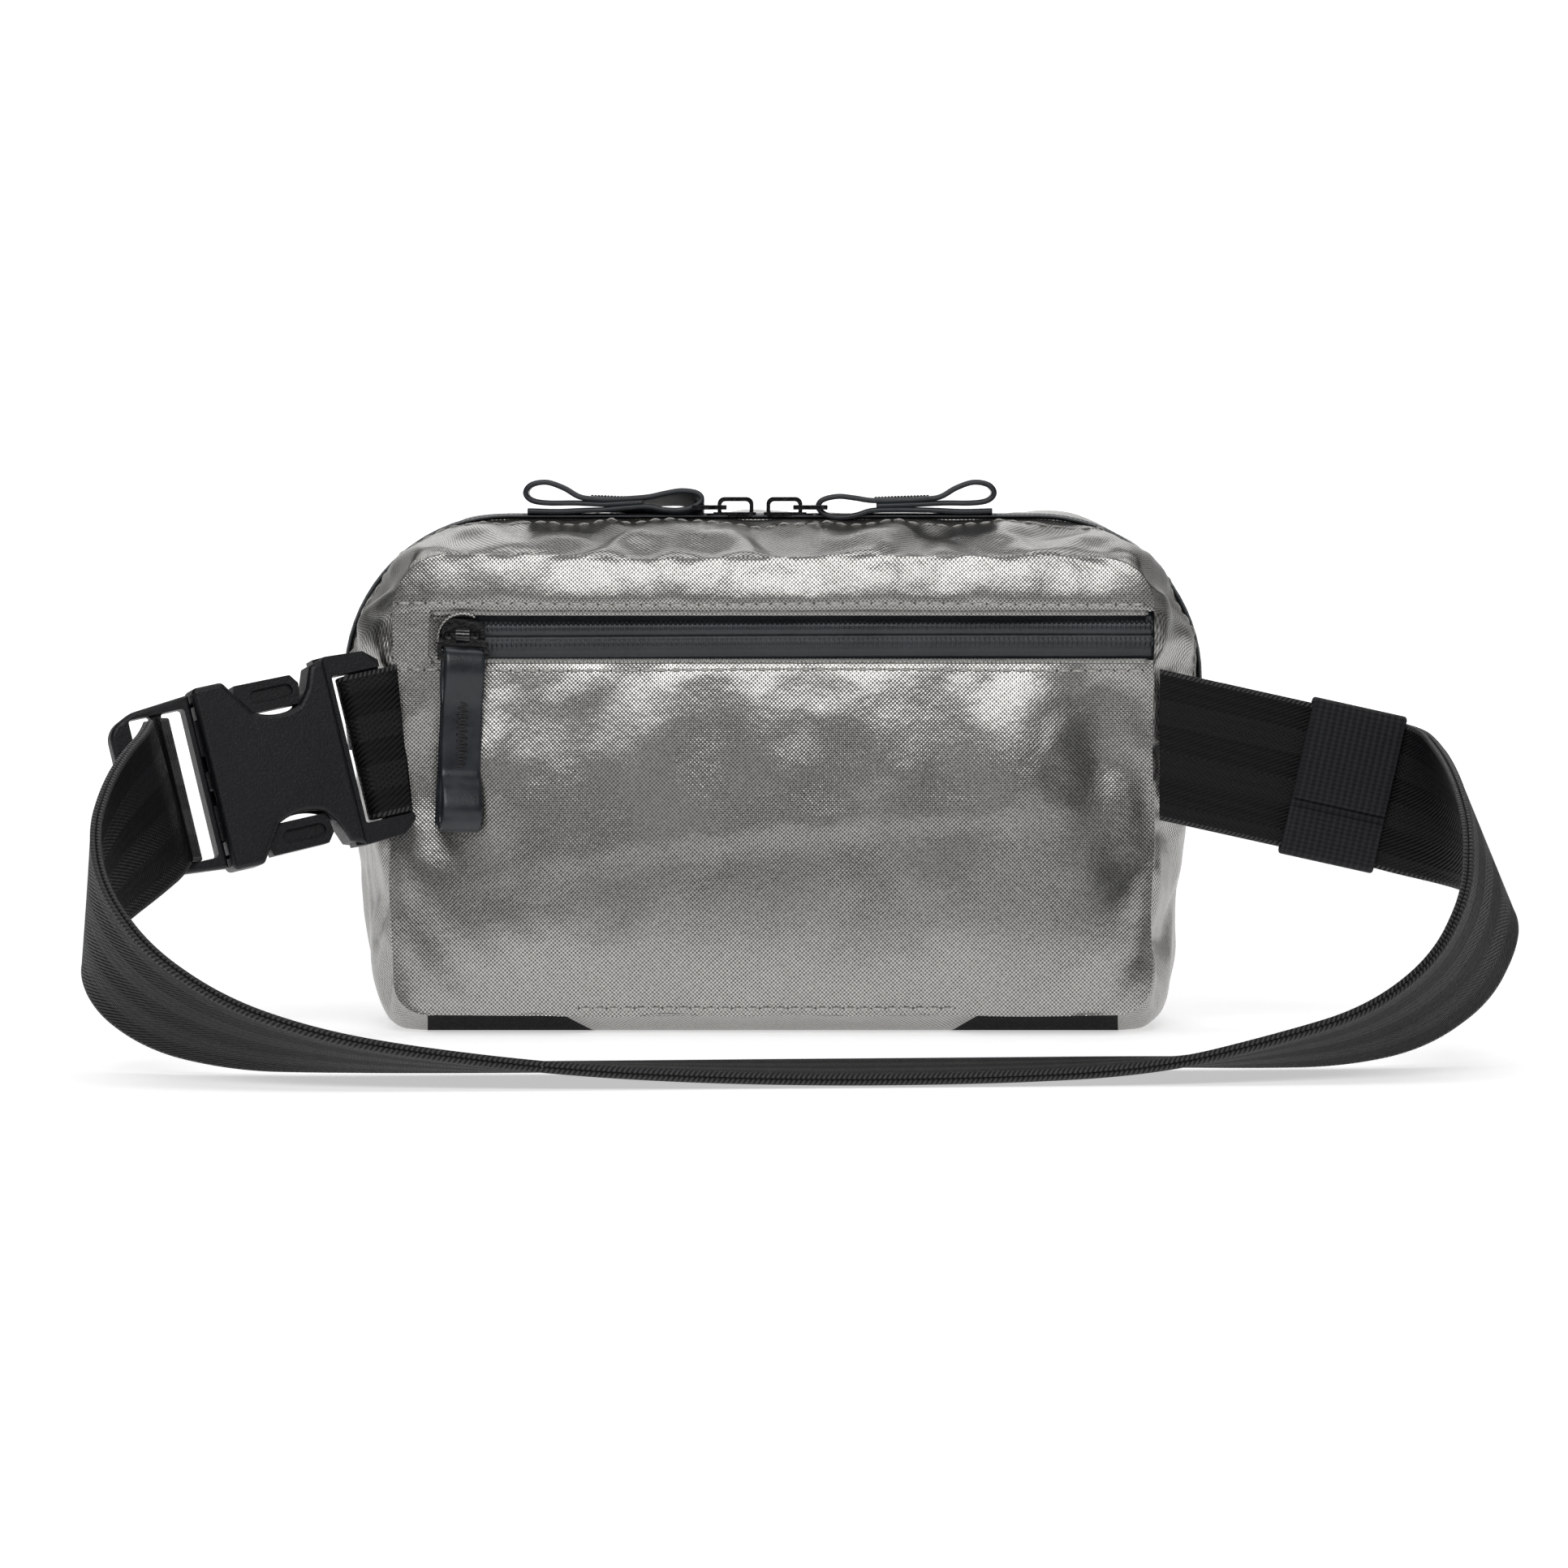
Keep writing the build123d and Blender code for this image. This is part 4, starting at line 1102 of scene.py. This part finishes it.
def spline_line(stops, name):
    """Points of the NURBS line that has these control points, in millimetres."""
    curve = bpy.data.curves.new(name, "CURVE")
    curve.dimensions = "3D"
    spline = curve.splines.new("NURBS")
    spline.points.add(len(stops) - 1)
    for point, place in zip(spline.points, row(stops)):
        point.co = (*place, 1.0)
    spline.order_u = 3
    spline.use_endpoint_u = True
    spline.resolution_u = 14
    holder = bpy.data.objects.new(name, curve)
    scene.collection.objects.link(holder)
    mesh = bpy.data.meshes.new_from_object(holder)
    flat = np.zeros(len(mesh.vertices) * 3, np.float32)
    mesh.vertices.foreach_get("co", flat)
    bpy.data.objects.remove(holder)
    bpy.data.curves.remove(curve)
    bpy.data.meshes.remove(mesh)
    return from_row(flat.reshape(-1, 3))


WEB_WIDE, WEB_THICK = 38.0, 1.3
centre_line = spline_line([p for p, w in STRAP], "strap_line")
upper_line = spline_line([np.array(p) + WEB_WIDE / 2 * unit(w) for p, w in STRAP], "strap_upper_line")
both = resample(np.hstack([centre_line, upper_line]), 1.0)
centre_line, wide_line = both[:, :3], both[:, 3:] - both[:, :3]

# Two layers: the one sewn to the pack, and the free end that lies along it from the ladder back.
tail_start = int(np.argmin(np.abs(centre_line[:200, 0] - 111.5)))
free_line, free_wide = centre_line[tail_start:], wide_line[tail_start:]
layer_a = webbing_piece("webbing_run", centre_line, wide_line, WEB_WIDE, WEB_THICK, WEB, None,
                        lift=-0.72, edge=1.12)
layer_b = webbing_piece("webbing_free_end", free_line, free_wide, WEB_WIDE, WEB_THICK, WEB, None,
                        lift=0.72, edge=1.12)
for layer in (layer_a, layer_b):
    cut(layer, (99.6, 0, 76), (-1, 0, 0))
    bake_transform(layer)
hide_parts("waist_strap")

# Folded tail of the free end, stitched down.
webbing_piece("webbing_tail_fold", free_line[:9], free_wide[:9], WEB_WIDE, 0.6, WEB, "bag",
              lift=1.66, edge=1.12)


def in_section(x, w, v=0.0):
    """A point of the buckle's lengthwise section: along it, out of its face, across it."""
    return mouth + along * x + outward * w + across * v


LOOP_WIDE, LOOP_EDGE, ROUND_BAR = 37.4, 1.05, 2.85
# The turn of the webbing round the ladder's middle bar.
turn = [(-12.6, 10.0), (-12.75, 5.0)]
turn += [(-9.8 - ROUND_BAR * cos(a), -ROUND_BAR * sin(a)) for a in np.radians(np.linspace(-5, 215, 16))]
turn += [(-9.2, 4.6), (-11.2, 8.4)]
turn = resample(smooth_path([in_section(x, w, -0.6) for x, w in turn], 6), 0.8)
webbing_piece("webbing_turn", turn, across, LOOP_WIDE, WEB_THICK, WEB, "buckle_slide_half", edge=LOOP_EDGE)

# Loop that carries the fixed half: out of the side seam, round the bar and back.
loop = [(56.0, 0.4), (53.0, 2.1), (49.5, 2.75), (45.0, 2.9)]
loop += [(42.2 - ROUND_BAR * sin(a), ROUND_BAR * cos(a)) for a in np.radians(np.linspace(0, 180, 13))]
loop += [(45.0, -2.9), (49.5, -2.75), (53.0, -2.1)]
loop = resample(smooth_path([in_section(x, w) for x, w in loop], 8), 0.9)
loop_piece = webbing_piece("webbing_buckle_loop", loop, across, LOOP_WIDE, 1.4, WEB_CHECK, "bag",
                           "buckle_webbing_loop", edge=LOOP_EDGE)
cut(loop_piece, (-94.6, 0, 76), (1, 0, 0.11))

# Elastic keeper: a band round the strap, its end lapped on the wearer's side.
run = unit(np.array((65.0, 0.0, -14.4)))
keeper_up = np.array((0.2155, 0.0, 0.9765))
keeper_middle = np.array((95.0, 0.0, 76.0)) + run * 53.0
KEEPER_BAND = [
    (-8.0, 2.55), (8.0, 2.5), (18.6, 2.5), (19.75, 2.1), (20.1, 0.6), (20.1, -0.8), (19.7, -2.2),
    (18.4, -2.55), (6.0, -2.7), (-6.0, -2.7), (-18.4, -2.55), (-19.7, -2.2), (-20.1, -0.8),
    (-20.1, 0.6), (-19.75, 2.1), (-18.6, 2.55), (-12.0, 2.6), (-7.6, 2.6)]
KEEPER_LAP = [(19.9, 1.3), (19.6, 2.7), (18.2, 3.5), (8.0, 3.75), (0.0, 3.75), (-5.6, 3.7)]


def band(name, stops, thick, width, *nodes):
    """A piece of the keeper through stops given up across the strap, and out to the wearer's side."""
    path = smooth_path([keeper_middle + keeper_up * u + WEARER * w for u, w in stops], 8)
    strip = ribbon(name, resample(path, 0.9), run, width, thick)[0]
    finish_piece(strip, ELASTIC, "keeper", "black_elastic", *nodes)


band("elastic_keeper", KEEPER_BAND, 1.1, 24.6, "strap_keeper")
band("elastic_keeper_lap", KEEPER_LAP, 1.15, 24.2)


# -------------------------------------------------------------------- pullers
# The strip's line in the puller's own plane: along it from the tab's bar, and up from its lying face.
PULLER = [
    (43.6, -2.45), (36.0, -2.35), (28.0, -1.75), (20.0, -1.30), (12.5, -1.25), (8.2, -2.3), (4.0, -2.75),
    (0.3, -2.0), (-1.75, 0.0), (-0.6, 1.95), (3.5, 2.75), (8.0, 2.15), (12.5, 1.35), (20.0, 1.15),
    (27.0, 1.3), (30.5, 1.8), (34.5, 3.9), (39.0, 5.2), (42.9, 4.4), (44.3, 2.2), (42.6, 0.35),
    (38.4, -0.2), (31.0, 0.05), (24.0, -0.05), (13.5, 0.0)]


def puller(name, node, body, origin, ahead, up, twist=0.0):
    """A looped strip on its tab's bar. It is turned by twist degrees at the bar, and lies flat 24 mm on."""
    side = np.cross(up, ahead)
    path, wide = [], []
    for a, b in resample(smooth_path(PULLER, 10), 0.45):
        turned = radians(twist * max(0.0, 1 - max(a, 0) / 24.0))
        path.append(origin + ahead * a + (up * cos(turned) - side * sin(turned)) * b)
        wide.append(side * cos(turned) + up * sin(turned))
    strip = ribbon(name, np.array(path), np.array(wide), 10.5, 1.4, flats=5)[0]
    finish_piece(strip, RUBBER, body, "rubberised_strip", node)


def bartack(name, body, origin, ahead, up, start, end):
    """Narrow zigzag through the strip's layers."""
    half, height, step = 1.6, 1.75, 0.85
    swing = np.cross(up, ahead) * half
    runs = []
    for n, a in enumerate(np.arange(start, end, step)):
        sign = 1 if n % 2 else -1
        line = [origin + ahead * a + swing * sign + up * height,
                origin + ahead * (a + 0.75) - swing * sign + up * height]
        runs.append((line, [up, up], 2 * half, 2 * half - 0.05))
    finish_piece(stitches(name, runs, 0.30, -0.12), BLACK_THREAD, body, "rubberised_strip")


RISE, HANG = radians(2), radians(3.5)
GRIP_Z = 135.9
hanging = unit((-0.035, -sin(HANG), -cos(HANG)))
hanging_up = np.array((0.30, -1.0, 0.0))
hanging_up = unit(hanging_up - hanging * np.dot(hanging_up, hanging))
# Name, body, and the puller's place: the middle of its tab's bar, ahead and up.
PLACES = [(f"main_{name}", f"main_puller_{name[0]}", np.array((x, ZIP_Y, GRIP_Z)),
           np.array((way * cos(RISE), 0, sin(RISE))), np.array((-way * sin(RISE), 0, cos(RISE))))
          for name, x, way in (("left", -20.45, -1), ("right", 13.65, 1))]
PLACES.append(("pocket", "pocket_puller_body", np.array((-79.5, -3.35, 97.6)), hanging, hanging_up))
for (name, body, *place), node, twist in zip(
        PLACES, ("main_puller_left", "main_puller_right", "pocket_puller"), (26, 0, 0)):
    puller("strip_" + name, node, body, *place, twist=twist)
for (name, body, *place), (start, end) in zip(PLACES, ((13, 27), (13, 27), (11.5, 28))):
    bartack("bartack_" + name, body, *place, start, end)


# --------------------------------------------------- moulded and metal CAD pieces

CARRIED = [
    (PLASTIC, 0.0007, ("buckle_female", "buckle_prong_upper", "buckle_prong_lower")),
    (PLASTIC, 0.0004, ("buckle_male",)),
    (METAL, 0.00025, ("main_slider_left", "main_slider_right", "pocket_slider")),
    (METAL, 0.00025, ("main_tab_left", "main_tab_right", "pocket_tab")),
    (COIL_NYLON, 0, ("pocket_zip_coil_upper", "pocket_zip_coil_lower")),
    (COIL_NYLON, 0, ("main_zip_coil_rear", "main_zip_coil_front")),
    (LINING, 0, ("pocket_lining",)),
]
for material, width, names in CARRIED:
    for node in (NODES[name] for name in names):
        node.data.materials.clear()
        node.data.materials.append(material)
        if width:
            weld = node.modifiers.new("weld", "WELD")
            weld.merge_threshold = 0.00001
            bevel = node.modifiers.new("rounded", "BEVEL")
            bevel.width = width
            bevel.segments = 3
            bevel.limit_method = "ANGLE"
            bevel.angle_limit = radians(38)
            bevel.harden_normals = True


# ------------------------------------------------------------- studio, camera


def studio():
    """A floor that curves up into a wall behind: pale near the pack, greyer far out and in front. It glows
    everywhere, most on the wall behind and round the pack: a painted pool of light.
    """
    half, front, bend, wall, top = 5.0, -5.0, 0.6, 2.5, 3.2
    profile = [(front, 0.0), (wall - bend, 0.0)]
    for a in np.radians(np.linspace(8, 90, 12)):
        profile.append((wall - bend + bend * sin(a), bend - bend * cos(a)))
    profile += [(wall, top)]
    points = [(x, y, z) for y, z in profile for x in (-half, half)]
    faces = [(2 * n, 2 * n + 1, 2 * n + 3, 2 * n + 2) for n in range(len(profile) - 1)]
    mesh = bpy.data.meshes.new("studio_floor")
    mesh.from_pydata(points, [], faces)
    mesh.polygons.foreach_set("use_smooth", [True] * len(faces))
    floor = bpy.data.objects.new("studio_floor", mesh)
    scene.collection.objects.link(floor)
    n = Nodes("studio_white_painted_glow")
    x, y, z = n.axes()
    near = n.times(n.span(n.math("ABSOLUTE", x), 0.50, 1.15, 1.0, 0.0), n.span(y, -1.7, -0.80, 0.30, 1.0))
    # Painted light: the floor's glow is strongest on the wall behind and round the pack, weaker far out and
    # in front.
    glow = n.add(n.times(near, n.span(y, 0.6, 1.9, 0.44, 0.62)), 0.08)
    tone = n.mix(near, (0.55, 0.55, 0.55), (0.92, 0.92, 0.92))
    mesh.materials.append(n.finish(tone, 0.75, (), Emission_Color=(1.0, 1.0, 1.0, 1.0),
                                   Emission_Strength=n.math("MAXIMUM", glow, 0.24)))


def softbox(name, place, target, size, power):
    light = bpy.data.lights.new(name, "AREA")
    light.shape = "RECTANGLE"
    light.size, light.size_y = size
    light.energy = power
    holder = bpy.data.objects.new(name, light)
    scene.collection.objects.link(holder)
    holder.location = place
    holder.rotation_euler = (Vector(target) - Vector(place)).to_track_quat("-Z", "Y").to_euler()


studio()
softbox("overhead", (0.0, -0.05, 1.25), (0.0, 0.0, 0.05), (1.5, 0.6), 5.0)
softbox("front_high", (-0.06, -1.05, 0.80), (0.0, 0.0, 0.10), (1.15, 0.42), 6.6)
softbox("left", (-1.20, -0.45, 0.40), (0.0, -0.03, 0.07), (0.22, 0.7), 0.22)
softbox("right", (1.20, -0.35, 0.40), (0.0, -0.03, 0.07), (0.22, 0.7), 0.22)
softbox("backdrop", (0.0, 1.75, 2.0), (0.0, 2.45, 0.6), (2.4, 0.8), 11.0)

world = bpy.data.worlds.new("studio")
world.use_nodes = True
background = world.node_tree.nodes["Background"]
background.inputs[0].default_value = (0.60, 0.61, 0.63, 1.0)
background.inputs[1].default_value = 0.035
scene.world = world
scene.view_settings.view_transform = "Standard"
scene.view_settings.look = "None"
scene.view_settings.exposure = 0.0

camera = bpy.data.cameras.new("camera")
camera.sensor_width = 36.0
camera.lens = 133.88
camera.clip_start, camera.clip_end = 0.05, 20.0
viewer = bpy.data.objects.new("camera", camera)
scene.collection.objects.link(viewer)
viewer.location = (0.0029, -1.534, 0.140)
viewer.rotation_euler = (radians(90 - 2.87), 0.0, 0.0)
scene.camera = viewer
